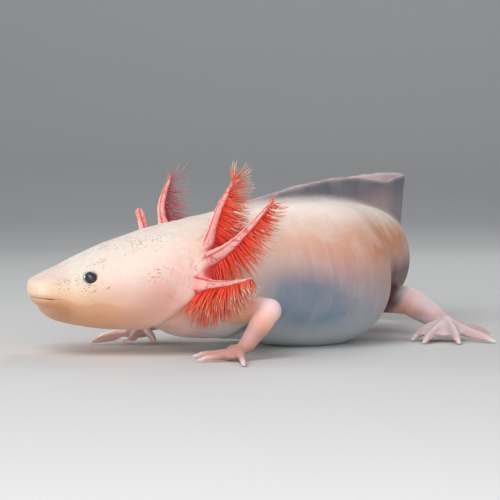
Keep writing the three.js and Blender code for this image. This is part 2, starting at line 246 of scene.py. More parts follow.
def tube(path: Path, wide: Array, thick: Array, towards: Sequence[float], count: int = 20) -> Shell:
    """Tube along a path with an elliptical section and domed ends.

    A ring's points are centre + wide cos(a) first + thick sin(a) second, where first is
    the direction `towards` made square to the path and second is square to both. At each
    end the rings shrink by cos(b) while they move out by sin(b) of the last radius.

    Args:
        path: centre line.
        wide: half widths along first at even steps of the path.
        thick: half widths along second at the same steps.
        towards: direction that first is turned to.
        count: points round each ring.

    Returns:
        The closed tube.
    """
    share = np.linspace(0, 1, max(8, int(path.length / RING_STEP)))
    a = np.interp(share, np.linspace(0, 1, len(wide)), wide)
    b = np.interp(share, np.linspace(0, 1, len(thick)), thick)
    centre, along = path.at(share), path.along(share)
    dome = np.radians([78, 55, 30])
    centre = np.vstack([
        centre[0] - along[0] * a[0] * np.sin(dome)[:, None],
        centre,
        centre[-1] + along[-1] * a[-1] * np.sin(dome[::-1])[:, None],
    ])
    along = np.vstack([np.repeat(along[:1], 3, 0), along, np.repeat(along[-1:], 3, 0)])
    a = np.concatenate([a[0] * np.cos(dome), a, a[-1] * np.cos(dome[::-1])])
    b = np.concatenate([b[0] * np.cos(dome), b, b[-1] * np.cos(dome[::-1])])
    aim = np.asarray(towards, float)[None]
    first = unit(aim - (aim * along).sum(1, keepdims=True) * along)
    second = np.cross(along, first)
    turn = np.linspace(0, 2 * np.pi, count, endpoint=False)[None, :, None]
    ring = a[:, None, None] * np.cos(turn) * first[:, None]
    ring = ring + b[:, None, None] * np.sin(turn) * second[:, None]
    return loft(centre[:, None] + ring)


def mesh_object(name: str, points: Array, faces: Array, fields: dict[str, Array]) -> bpy.types.Object:
    """Smooth-shaded object at the origin from points in millimetres.

    Args:
        name: name of the object and its mesh.
        points: rows of coordinates, in millimetres.
        faces: rows of point numbers, all of one length.
        fields: values per point by attribute name, single numbers or rows of three.

    Returns:
        The object, linked to the scene.
    """
    mesh = bpy.data.meshes.new(name)
    mesh.vertices.add(len(points))
    mesh.vertices.foreach_set("co", (points * MM).astype(np.float32).ravel())
    mesh.loops.add(faces.size)
    mesh.loops.foreach_set("vertex_index", faces.astype(np.int32).ravel())
    mesh.polygons.add(len(faces))
    mesh.polygons.foreach_set("loop_start", np.arange(0, faces.size, faces.shape[1], dtype=np.int32))
    mesh.update(calc_edges=True)
    mesh.validate()
    mesh.shade_smooth()
    for label, values in fields.items():
        kind, key = ("FLOAT", "value") if values.ndim == 1 else ("FLOAT_VECTOR", "vector")
        mesh.attributes.new(label, kind, "POINT").data.foreach_set(key, values.astype(np.float32).ravel())
    thing = bpy.data.objects.new(name, mesh)
    bpy.context.scene.collection.objects.link(thing)
    return thing


def remade(shell: Shell, kind: str, settings: dict) -> Shell:
    """The surface that a mesh modifier makes of a shell.

    Args:
        shell: surface in millimetres.
        kind: type of the modifier.
        settings: its values, with lengths in millimetres.

    Returns:
        The new surface as triangles.
    """
    rough = mesh_object("rough_form", shell.points / MM, shell.triangles, {})
    modifier = rough.modifiers.new("remake", kind)
    for key, value in settings.items():
        setattr(modifier, key, value)
    graph = bpy.context.evaluated_depsgraph_get()
    mesh = rough.evaluated_get(graph).to_mesh()
    mesh.calc_loop_triangles()
    points = np.empty(len(mesh.vertices) * 3, np.float32)
    mesh.vertices.foreach_get("co", points)
    triangles = np.empty(len(mesh.loop_triangles) * 3, np.int32)
    mesh.loop_triangles.foreach_get("vertices", triangles)
    old = rough.data
    bpy.data.objects.remove(rough)
    bpy.data.meshes.remove(old)
    return Shell(points.reshape(-1, 3).astype(float), triangles.reshape(-1, 3).astype(int))


class Net:
    """Which points of a triangle mesh are neighbours."""

    def __init__(self, triangles: Array, count: int) -> None:
        """Collects each edge once in both directions.

        Args:
            triangles: rows of point numbers.
            count: how many points the mesh has.
        """
        pairs = np.sort(triangles[:, [0, 1, 1, 2, 2, 0]].reshape(-1, 2), axis=1)
        keys = np.unique(pairs[:, 0].astype(np.int64) * count + pairs[:, 1])
        low, high = keys // count, keys % count
        self.one, self.other = np.concatenate([low, high]), np.concatenate([high, low])
        self.count = count
        self.share = 1.0 / np.maximum(np.bincount(self.one, minlength=count), 1)

    def mean(self, values: Array) -> Array:
        """Mean of the values at each point's neighbours.

        Args:
            values: a number or a row for each point.

        Returns:
            The means, laid out as the values are.
        """
        if values.ndim == 1:
            return np.bincount(self.one, values[self.other], self.count) * self.share
        return np.stack([self.mean(column) for column in values.T], axis=1)


def outward(points: Array, triangles: Array) -> Array:
    """Unit normals at a mesh's points: the sums of the area vectors of the triangles there.

    Args:
        points: rows of coordinates.
        triangles: rows of point numbers.

    Returns:
        One normal for each point.
    """
    a, b, c = (points[triangles[:, k]] for k in range(3))
    area = np.cross(b - a, c - a)
    total = [
        sum(np.bincount(triangles[:, k], part, len(points)) for k in range(3)) for part in area.T
    ]
    return unit(np.stack(total, axis=1))


def refined(shell: Shell, inside: Array) -> Shell:
    """Halves each edge whose two ends are inside, and splits the triangles beside it.

    A triangle with one, two or three halved edges becomes two, three or four triangles
    that use their middles.

    Args:
        shell: the mesh.
        inside: which points lie where the mesh gets finer.

    Returns:
        The finer mesh.
    """
    count = len(shell.points)
    corners = shell.triangles
    pairs = np.sort(corners[:, [0, 1, 1, 2, 2, 0]].reshape(-1, 2), axis=1)
    keys, back = np.unique(pairs[:, 0].astype(np.int64) * count + pairs[:, 1], return_inverse=True)
    ends = np.stack([keys // count, keys % count], axis=1)
    cut = inside[ends].all(axis=1)
    middle = np.full(len(keys), -1)
    middle[cut] = count + np.arange(cut.sum())
    points = np.vstack([shell.points, shell.points[ends[cut]].mean(axis=1)])
    mids = middle[back.reshape(-1)].reshape(-1, 3)
    every = np.hstack([corners, mids])  # a, b, c and the middles of ab, bc, ca
    code = (mids >= 0) @ np.array([1, 2, 4])
    splits = {
        0: [(0, 1, 2)],
        1: [(0, 3, 2), (3, 1, 2)],
        2: [(0, 1, 4), (0, 4, 2)],
        4: [(0, 1, 5), (5, 1, 2)],
        3: [(3, 1, 4), (0, 3, 4), (0, 4, 2)],
        6: [(4, 2, 5), (0, 1, 4), (0, 4, 5)],
        5: [(0, 3, 5), (3, 1, 2), (3, 2, 5)],
        7: [(0, 3, 5), (3, 1, 4), (5, 4, 2), (3, 4, 5)],
    }
    parts = [every[code == key][:, list(triple)] for key, triples in splits.items() for triple in triples]
    return Shell(points, np.vstack(parts))


# ------------------------------------------------------------------ the body's form


class Flank(Enum):
    """Side of the animal, as the sign of distances to its left."""

    LEFT = 1
    RIGHT = -1


class Ease(Enum):
    """How a pattern's values turn into shares of a tint."""

    SMOOTH = "SMOOTHSTEP"
    STRAIGHT = "LINEAR"


@dataclass
class Lie:
    """Where points of the skin lie on the animal.

    Attributes:
        at: distance behind the snout along the spine.
        left: distance to the animal's left of the spine.
        up: height above the floor.
        out: distance outside the plain body, without fins and limbs.
        turn: angle round the body, 0 at its left and a quarter turn at its back.
    """

    at: Array
    left: Array
    up: Array
    out: Array
    turn: Array


@dataclass
class Trunk:
    """The body from the snout to the tip of the tail: a loft along the bent spine."""

    spine_marks: tuple = (
        (-60.8, -31.8), (-44.3, -26.7), (-28.0, -21.8), (-17.5, -17.9), (-8.5, -10.6), (-0.4, 0.3),
        (6.4, 12.4), (12.0, 24.5), (17.0, 36.0), (20.0, 48.0), (19.9, 60.5), (11.5, 74.5), (-5.0, 86.5),
        (-27.0, 96.5), (-56.0, 104.0),
    )
    # distance behind the snout, half width, and the back and underside above the floor
    sections: tuple = (
        (0, 10.4, 16.8, 9.6), (5, 12.1, 18.3, 7.2), (10, 14.1, 20.8, 6.1), (15, 15.9, 23.0, 5.4),
        (20, 17.3, 24.8, 5.1), (26, 18.5, 26.7, 5.1), (32, 18.7, 28.1, 3.1), (38, 17.6, 29.4, 2.7),
        (46, 17.5, 31.0, 2.1), (56, 19.1, 31.9, 0.2), (64, 20.1, 32.2, -0.8), (72, 18.8, 32.2, -0.6),
        (77, 16.3, 32.0, 1.1), (82, 14.8, 31.7, 2.8), (88, 13.5, 31.2, 4.4), (98, 11.1, 30.0, 6.0),
        (106, 8.7, 28.6, 6.6), (113, 6.8, 26.8, 7.0),
        (120, 5.6, 25.2, 7.2), (128, 4.9, 23.8, 7.5), (145, 4.6, 22.0, 7.6), (165, 3.8, 19.4, 7.5),
        (185, 2.8, 16.4, 7.0), (205, 1.8, 13.2, 6.4), (218, 1.0, 10.4, 6.0),
    )
    # how high the widest place is between underside and back, by distance behind the snout
    widest_share: tuple = (
        (0, 0.72), (5, 0.56), (12, 0.46), (60, 0.42), (78, 0.45), (98, 0.6), (118, 0.53), (220, 0.5),
    )
    # powers of the section's superellipse above and below the widest place
    back_power: float = 2.15
    under_powers: tuple = ((0, 2.4), (36, 2.35), (50, 2.1), (64, 2.1), (78, 2.0), (98, 1.9), (220, 2.0))
    nose_length: float = 5.0
    nose_power: float = 2.5
    end: float = 220.0

    def __post_init__(self) -> None:
        """Turns the tables into curves."""
        self.spine = Path(np.array(self.spine_marks))
        at = [s[0] for s in self.sections]
        self.half, self.back, self.under = (
            monotone([(a, s[k]) for a, s in zip(at, self.sections)]) for k in (1, 2, 3)
        )
        self.widest = monotone(self.widest_share)
        self.under_power = monotone(self.under_powers)
        self._at = np.linspace(0, self.spine.length, 480)
        self._place = self.spine.at(self._at / self.spine.length)
        self._back = self.spine.along(self._at / self.spine.length)

    def nose(self, at: Array) -> Array:
        """Share of the full section that the rounding of the snout leaves."""
        t = np.clip(1 - at / self.nose_length, 0, 1)
        return (1 - t**self.nose_power) ** (1 / self.nose_power)

    def beside(self, at: Array, left: Array, up: Array) -> Array:
        """Points given by their place on the animal.

        Args:
            at: distances behind the snout along the spine, which goes on straight past its ends.
            left: distances to the animal's left of the spine.
            up: heights above the floor.

        Returns:
            The points, with the shape of the three arrays broadcast together.
        """
        at, left, up = np.broadcast_arrays(*(np.asarray(v, float) for v in (at, left, up)))
        inside = np.clip(at, 0, self.spine.length)
        share = inside / self.spine.length
        back = self.spine.along(share)
        place = self.spine.at(share) + back * (at - inside)[..., None]
        side = np.stack([back[..., 1], -back[..., 0]], axis=-1)
        plan = place + side * left[..., None]
        return np.concatenate([plan, up[..., None]], axis=-1)

    def direction(self, at: float, back: float, left: float, up: float) -> Array:
        """Direction given by its parts on the animal.

        Args:
            at: distance behind the snout at which the parts are meant.
            back: part along the spine towards the tail.
            left: part to the animal's left.
            up: part upwards.

        Returns:
            The direction, as long as its parts make it.
        """
        share = np.clip(at / self.spine.length, 0, 1)
        b = self.spine.along(np.array([share]))[0]
        return np.array([b[0] * back + b[1] * left, b[1] * back - b[0] * left, up])

    def frame_of(self, at: Array) -> tuple[Array, Array, Array]:
        """Measures of the section at distances behind the snout.

        Args:
            at: the distances.

        Returns:
            Half widths, heights of the widest place, and the reach up and down from there.
        """
        share = self.nose(np.maximum(at, 0.02))
        top, low = self.back(at), self.under(at)
        middle = low + self.widest(at) * (top - low)
        return self.half(at) * share, middle, np.stack([(top - middle) * share, (middle - low) * share])

    def form(self) -> Shell:
        """The plain body: superellipse rings, half width |cos|^(2/p) by reach |sin|^(2/p).

        Returns:
            The body's closed shell.
        """
        snout = [0.02, 0.06, 0.14, 0.28, 0.48, 0.75, 1.1, 1.6, 2.2, 3, 4]
        at = np.concatenate([snout, np.arange(self.nose_length, self.end, 1.0)])
        angle = -np.linspace(0, 2 * np.pi, 120, endpoint=False)
        half, middle, reach = self.frame_of(at)
        upper = np.sin(angle) > 0
        power = np.where(upper[None], self.back_power, self.under_power(at)[:, None])
        high = np.where(upper[None], reach[0][:, None], reach[1][:, None])
        across = half[:, None] * np.sign(np.cos(angle)) * np.abs(np.cos(angle)) ** (2 / power)
        up = middle[:, None] + high * np.sign(np.sin(angle)) * np.abs(np.sin(angle)) ** (2 / power)
        return loft(self.beside(at[:, None], across, up))

    def lie(self, points: Array) -> Lie:
        """Where points lie on the animal, from the nearest place of the spine in plan.

        The distance outside the body is radius (1 - 1 / level), where level is 1 on the
        section's superellipse.

        Args:
            points: points as rows, in millimetres.

        Returns:
            Their places.
        """
        near = np.concatenate([
            ((part[:, None, :2] - self._place[None]) ** 2).sum(2).argmin(1)
            for part in np.array_split(points, max(1, len(points) // 20000))
        ])
        back, gap = self._back[near], points[:, :2] - self._place[near]
        at = self._at[near] + (gap * back).sum(1)
        left = gap[:, 0] * back[:, 1] - gap[:, 1] * back[:, 0]
        half, middle, reach = self.frame_of(np.clip(at, 0, self.end))
        above = points[:, 2] > middle
        rise = (points[:, 2] - middle) / np.where(above, reach[0], reach[1])
        side = left / half
        power = np.where(above, self.back_power, self.under_power(at))
        level = (np.abs(side) ** power + np.abs(rise) ** power) ** (1 / power)
        radius = np.hypot(left, points[:, 2] - middle)
        out = radius * (1 - 1 / np.maximum(level, 1e-6))
        return Lie(at, left, points[:, 2], out, np.arctan2(rise, side))


@dataclass
class Fins:
    """The fin along the back and the tail, above and below.

    The rings are thin loops in the cross plane: from the body out to the crest on one
    side and back on the other, thicker at the root by the square of what is left.
    """

    crest_marks: tuple = (
        (44, 30.8), (49, 32.4), (56, 34.0), (66, 35.6), (75, 36.6), (88, 37.2), (98, 36.9),
        (106, 36.2), (113, 36.8), (123, 37.6), (137, 38.1), (152, 36.9), (163, 34.6), (173, 32.0),
        (185, 28.2), (197, 24.0), (209, 19.2), (219, 14.4), (226, 10.2), (229, 8.6),
    )
    keel_marks: tuple = ((124, 6.6), (134, 3.0), (146, -0.3), (200, -0.3), (214, 1.2), (224, 4.2), (229, 6.8))
    root: float = 1.7
    edge: float = 0.42
    sink: float = 2.5  # how deep the fin's foot stands in the body
    lean: float = 3.3  # how far the crest leans over where the tail bends most
    bend: float = 119.0
    lean_spread: float = 23.0
    back_start: float = 46.0
    keel_start: float = 124.0
    tip: float = 229.0
    ripple: float = 0.55  # sideways waves of the free edge
    ripple_length: float = 17.0

    def __post_init__(self) -> None:
        """Turns the tables into curves."""
        self.crest, self.keel = monotone(self.crest_marks), monotone(self.keel_marks)

    def leaning(self, at: Array) -> Array:
        """How far the crest leans to the left."""
        return self.lean * bell(at, self.bend, self.lean_spread)

    def strip(self, body: Trunk, start: float, upper: bool) -> Shell:
        """One fin from a distance behind the snout to the tip of the tail.

        Past the end of the body the two fins meet and overlap at mid height.

        Args:
            body: the trunk that carries it.
            start: where it begins.
            upper: whether it stands on the back.

        Returns:
            The fin, closed.
        """
        at = np.arange(start, self.tip, 0.8)
        depth = body.back(at) - body.under(at)
        sink = np.minimum(self.sink, 0.35 * depth)
        inner = body.back(at) - sink if upper else body.under(at) + sink
        outer = self.crest(at) if upper else self.keel(at)
        centre = 0.5 * (self.crest(at) + self.keel(at)) + (-1.0 if upper else 1.0)
        inner = np.where(at > body.end - 2, centre, inner)
        share = np.linspace(0, 1, 24)[None]
        root = np.minimum(self.root, 0.55 * body.half(at))[:, None]
        half = self.edge + (root - self.edge) * (1 - share) ** 1.6
        half = half * np.sqrt(np.clip((1.02 - share) / 0.05, 0.16, 1))
        lean = self.leaning(at)[:, None] * share**0.4 if upper else 0 * share
        wave = self.ripple * np.sin(2 * np.pi * at / self.ripple_length)[:, None] * share**2
        up = inner[:, None] + (outer - inner)[:, None] * share
        sign = 1 if upper else -1
        left = body.beside(at[:, None], lean + wave + sign * half, up)
        right = body.beside(at[:, None], lean + wave - sign * half, up)
        return loft(np.concatenate([right, left[:, ::-1]], axis=1)[:, ::-1])

    def form(self, body: Trunk) -> list[Shell]:
        """The fins above and below."""
        return [self.strip(body, self.back_start, True), self.strip(body, self.keel_start, False)]


@dataclass
class Leg:
    """A leg as tubes for its two lengths, the palm and the digits.

    Attributes:
        hip, knee, ankle, palm: joints, in millimetres.
        radii: radius at the hip, at the knee above and below, at the ankle and the palm.
        tips: where the digits end on the floor, seen from above.
        arches: height of each digit's knuckle.
        digit_root, digit_tip: radius of the digits at the palm and at the tip.
        webs: how far the skin between the digits reaches towards their tips.
        coolness: how far the hand takes the duller tint of hands.
        pallor: how pale the hand is on top.
        pale_tip: length over which the digits grow pale towards their tips.
    """

    hip: tuple
    knee: tuple
    ankle: tuple
    palm: tuple
    radii: tuple
    tips: tuple
    arches: tuple
    digit_root: float = 0.9
    digit_tip: float = 0.48
    webs: tuple = (0.3, 0.3, 0.3, 0.3)
    coolness: float = 0.9
    pallor: float = 0.75
    pale_tip: float = 7.5

    def joints(self) -> list[Array]:
        """Hip, knee, ankle and palm."""
        return [np.array(place) for place in (self.hip, self.knee, self.ankle, self.palm)]

    def form(self) -> list[Shell]:
        """Builds the leg as overlapping closed forms.

        Returns:
            Tubes of the upper and lower leg, the palm, each digit and each web.
        """
        hip, knee, ankle, palm = self.joints()
        r = self.radii
        up = (0.0, 0.0, 1.0)
        upper = Path(np.array([hip, 0.5 * (hip + knee) + [0, 0, 0.3], knee]))
        lower = Path(np.array([knee, 0.5 * (knee + ankle), ankle]))
        middle, low = 0.5 * (r[0] + r[1]), 0.5 * (r[2] + r[3])
        upper_radii = [r[0] * 1.06, middle * 1.02, middle * 0.98, r[1]]
        lower_radii = [r[2], r[2] * 1.02, low, r[3]]
        shells = [tube(upper, upper_radii, upper_radii, up), tube(lower, lower_radii, lower_radii, up)]
        wrist = Path(np.array([ankle, 0.5 * (ankle + palm) + [0, 0, 0.15], palm]))
        flat = np.array([0.85 * r[3], 0.8 * r[4], 0.62 * r[4]])
        shells.append(tube(wrist, flat, np.array([r[3], r[4], r[4]]), up))
        ends = [np.array([x, y, self.digit_tip]) for x, y in self.tips]
        shells += [self.digit(palm, end, arch) for end, arch in zip(ends, self.arches)]
        for one, two, web in zip(ends[:-1], ends[1:], self.webs):
            edge = palm + web * (0.5 * (one + two) - palm)
            edge[2] = 0.5 * palm[2] + 0.15
            span = 0.24 * web * np.linalg.norm(two - one) + 0.5
            strut = Path(np.array([palm, 0.5 * (palm + edge), edge]))
            thick = np.array([0.9, 0.7, 0.45])
            shells.append(tube(strut, thick, np.array([1.4, span + 0.4, span]), up))
        return shells

    def digit(self, palm: Array, tip: Array, arch: float) -> Shell:
        """A digit that rises from the palm to its knuckle and tapers to a tip on the floor.

        Args:
            palm: middle of the palm.
            tip: where it ends.
            arch: height of its knuckle.

        Returns:
            The digit as a closed tube.
        """
        start = palm + [0, 0, 0.25]
        knuckle = start + 0.5 * (tip - start)
        knuckle[2] = arch
        bend = start + 0.8 * (tip - start)
        bend[2] = 0.42 * arch + 0.42
        path = Path(np.array([start, knuckle, bend, tip]))
        root, end = self.digit_root, self.digit_tip
        taper = root * np.array([1.4, 1.1, 0.98, 0.92, 0.86, 0.76])
        wide = np.append(taper, [0.35 * root + 0.6 * end, 0.9 * end])
        thick = np.append(0.95 * wide[:2], wide[2:])
        return tube(path, thick, wide, (0.0, 0.0, 1.0), 14)


LEGS = {
    "fore_left": Leg(
        hip=(-21.5, -31.5, 9.2), knee=(-10.5, -41.4, 10.0), ankle=(-14.9, -45.0, 3.5),
        palm=(-16.8, -46.3, 1.8), radii=(2.9, 2.6, 2.4, 1.7, 1.6),
        tips=((-19.6, -39.6), (-26.2, -41.0), (-25.0, -50.0), (-15.7, -59.6)),
        arches=(2.3, 1.3, 1.15, 1.7), pallor=0.0, pale_tip=4.5,
    ),
    # the far hand's high pallor is painted light on a hand that lies in the shade under the throat
    "fore_right": Leg(
        hip=(-24.0, -7.5, 10.5), knee=(-27.0, 7.6, 10.4), ankle=(-36.6, 0.2, 4.4),
        palm=(-38.8, -2.5, 2.9), radii=(3.2, 2.7, 2.6, 2.1, 1.9),
        tips=((-35.6, -8.8), (-42.8, -11.4), (-49.9, -8.4), (-49.2, 7.6)),
        arches=(2.4, 1.6, 1.6, 2.4), digit_root=1.1, coolness=0.35, pallor=0.9,
    ),
    "hind_left": Leg(
        hip=(10.5, 21.0, 8.4), knee=(22.6, 12.6, 8.4), ankle=(28.2, 8.0, 5.0),
        palm=(30.6, 4.6, 3.5), radii=(3.5, 3.3, 3.2, 2.7, 2.4),
        tips=((22.2, -0.6), (24.2, -8.0), (32.0, -9.6), (40.4, -6.4), (41.4, 13.0)),
        arches=(2.9, 2.4, 2.7, 1.9, 2.5), digit_root=1.35, webs=(0.78, 0.62, 0.4, 0.15),
    ),
    "hind_right": Leg(
        hip=(9.0, 26.0, 9.0), knee=(-4.6, 33.0, 9.4), ankle=(-9.2, 36.0, 4.6),
        palm=(-12.4, 37.4, 3.2), radii=(3.5, 3.3, 3.2, 2.7, 2.4),
        tips=((-10.6, 27.4), (-18.4, 29.4), (-22.6, 35.6), (-21.6, 44.6), (-10.4, 47.6)),
        arches=(2.9, 2.5, 2.3, 2.3, 2.8), digit_root=1.25, webs=(0.6, 0.55, 0.5, 0.22),
    ),
}


@dataclass
class Gill:
    """One gill: a curved, flattened stalk that carries rows of fine filaments.

    Attributes:
        name: name of the gill, that of its CAD node.
        flank: side of the head.
        marks: the stalk's root, middle and tip, as distances behind the snout, out and up.
        hang: the way its filaments hang, as parts backwards, outwards and up.
        reach: length of the longest filaments.
        first, last: where the filaments begin and end, as shares of the stalk.
        curl: bend of the filaments along the stalk, at its root and at its tip.
        per_row: filaments in a row.
        pallor: how much paler the filaments grow towards the stalk's tip.
        fullness: share of the filaments' full thickness.
        tuft: how far the filaments splay at the stalk's tip.
        fan: how far they turn outwards there.
        wide, thick: half widths of the stalk from root to tip, along `hang` and square to it.
    """

    name: str
    flank: Flank
    marks: tuple
    hang: tuple
    reach: float
    first: float = 0.04
    last: float = 1.0
    curl: tuple = (-0.3, 0.65)
    per_row: int = 60
    pallor: float = 0.25
    fullness: float = 1.0
    tuft: float = 2.0
    fan: float = 0.1
    wide: tuple = (2.2, 1.45, 1.1, 0.95, 0.8, 0.6, 0.42)
    thick: tuple = (1.9, 1.15, 0.85, 0.75, 0.62, 0.5, 0.4)

    def path(self, body: Trunk) -> Path:
        """Centre line of the stalk."""
        at, out, up = np.array(self.marks).T
        return Path(body.beside(at, self.flank.value * out, up))

    def radius(self, share: Array) -> Array:
        """Half width of the stalk at shares of its length."""
        return np.interp(share, np.linspace(0, 1, len(self.wide)), self.wide)

    def hang_way(self, body: Trunk) -> Array:
        """Direction in which the filaments hang."""
        back, out, up = self.hang
        return unit(body.direction(self.marks[0][0], back, self.flank.value * out, up))

    def form(self, body: Trunk) -> Shell:
        """The stalk, its broad side along the way that the filaments hang."""
        return tube(self.path(body), np.array(self.wide), np.array(self.thick), self.hang_way(body), 18)


GILLS = (
    Gill(
        "gill_left_upper", Flank.LEFT, ((34.6, 13.2, 22.6), (36.6, 16.8, 31.2), (39.1, 19.5, 37.4)),
        hang=(1, 0.25, 0.0), reach=7.0, curl=(0.0, 0.45), per_row=68, pallor=0.5, tuft=3.0, fan=1.0,
        fullness=0.85,
    ),
    Gill(
        "gill_left_middle", Flank.LEFT, ((33.4, 15.8, 19.6), (37.6, 22.0, 23.4), (42.8, 26.1, 32.5)),
        hang=(0.8, 0.2, -0.6), reach=7.2, wide=(2.6, 1.9, 1.4, 1.0, 0.8, 0.6, 0.42),
    ),
    Gill(
        "gill_left_lower", Flank.LEFT, ((31.8, 16.2, 14.8), (35.4, 22.6, 15.4), (40.0, 26.4, 16.8)),
        hang=(-0.15, 0.1, -1), reach=7.0, curl=(-0.15, 0.3), per_row=92, pallor=0.35, tuft=0.5,
        fullness=1.1, wide=(3.0, 2.3, 1.5, 1.05, 0.8, 0.6, 0.42),
    ),
    Gill(
        "gill_right_upper", Flank.RIGHT, ((33.0, 12.5, 24.2), (33.1, 16.6, 31.0), (35.8, 19.0, 37.4)),
        hang=(1, 0.25, 0.0), reach=7.8, curl=(-0.1, 0.5), per_row=34, fan=0.7, fullness=0.6,
    ),
    Gill(
        "gill_right_middle", Flank.RIGHT, ((31.9, 15.5, 20.4), (30.9, 21.6, 23.4), (30.1, 26.0, 29.2)),
        hang=(0.8, 0.2, -0.6), reach=4.2, last=0.7, per_row=20, fullness=0.6,
        wide=(2.3, 1.7, 1.45, 1.3, 1.2, 1.15, 1.1), thick=(2.0, 1.4, 1.2, 1.1, 1.05, 1.0, 1.0),
    ),
    Gill(
        "gill_right_lower", Flank.RIGHT, ((33.0, 15.8, 15.6), (34.2, 22.6, 15.4), (37.6, 26.6, 16.6)),
        hang=(0.2, 0, -1), reach=7.4, per_row=64,
    ),
)


# ------------------------------------------------------------------ materials


def linear(hex_colour: str) -> tuple[float, float, float, float]:
    """Linear RGBA of an sRGB hex colour."""
    values = [int(hex_colour[i : i + 2], 16) / 255 for i in (1, 3, 5)]
    return (*[v / 12.92 if v <= 0.04045 else ((v + 0.055) / 1.055) ** 2.4 for v in values], 1.0)


def add_node(
    tree: bpy.types.NodeTree, kind: str, settings: dict | None = None, links: dict | None = None
) -> bpy.types.Node:
    """Adds a node with its settings and links.

    Args:
        tree: node tree that it goes into.
        kind: type of the node.
        settings: values by property name, or by input name or number.
        links: sockets by the input name or number that they feed.

    Returns:
        The node.
    """
    made = tree.nodes.new(kind)
    for key, value in (settings or {}).items():
        if isinstance(key, str) and hasattr(made, key):
            setattr(made, key, value)
        else:
            made.inputs[key].default_value = value
    for key, socket in (links or {}).items():
        tree.links.new(socket, made.inputs[key])
    return made


@dataclass(frozen=True)
class Finish:
    """Base of the finishes: a material with its own node tree."""

    def start(self, name: str) -> tuple[bpy.types.Material, bpy.types.NodeTree]:
        """New material and its empty node tree.

        Args:
            name: the material's name.

        Returns:
            The material and its tree.
        """
        material = bpy.data.materials.new(name)
        material.use_nodes = True
        material.node_tree.nodes.clear()
        return material, material.node_tree


@dataclass(frozen=True)
class Coat:
    """One tint of the skin, laid over the ones before it.

    Attributes:
        colour: sRGB hex value.
        field: the skin's field that says where it lies.
        pattern: name of the pattern that breaks it up, if any.
        low, high: the pattern's values at which the tint is gone and full.
        most: share of the tint where it is full.
        ease: how the pattern's values turn into shares.
    """

    colour: str
    field: str
    pattern: str = ""
    low: float = 0.0
    high: float = 1.0
    most: float = 1.0
    ease: Ease = Ease.SMOOTH


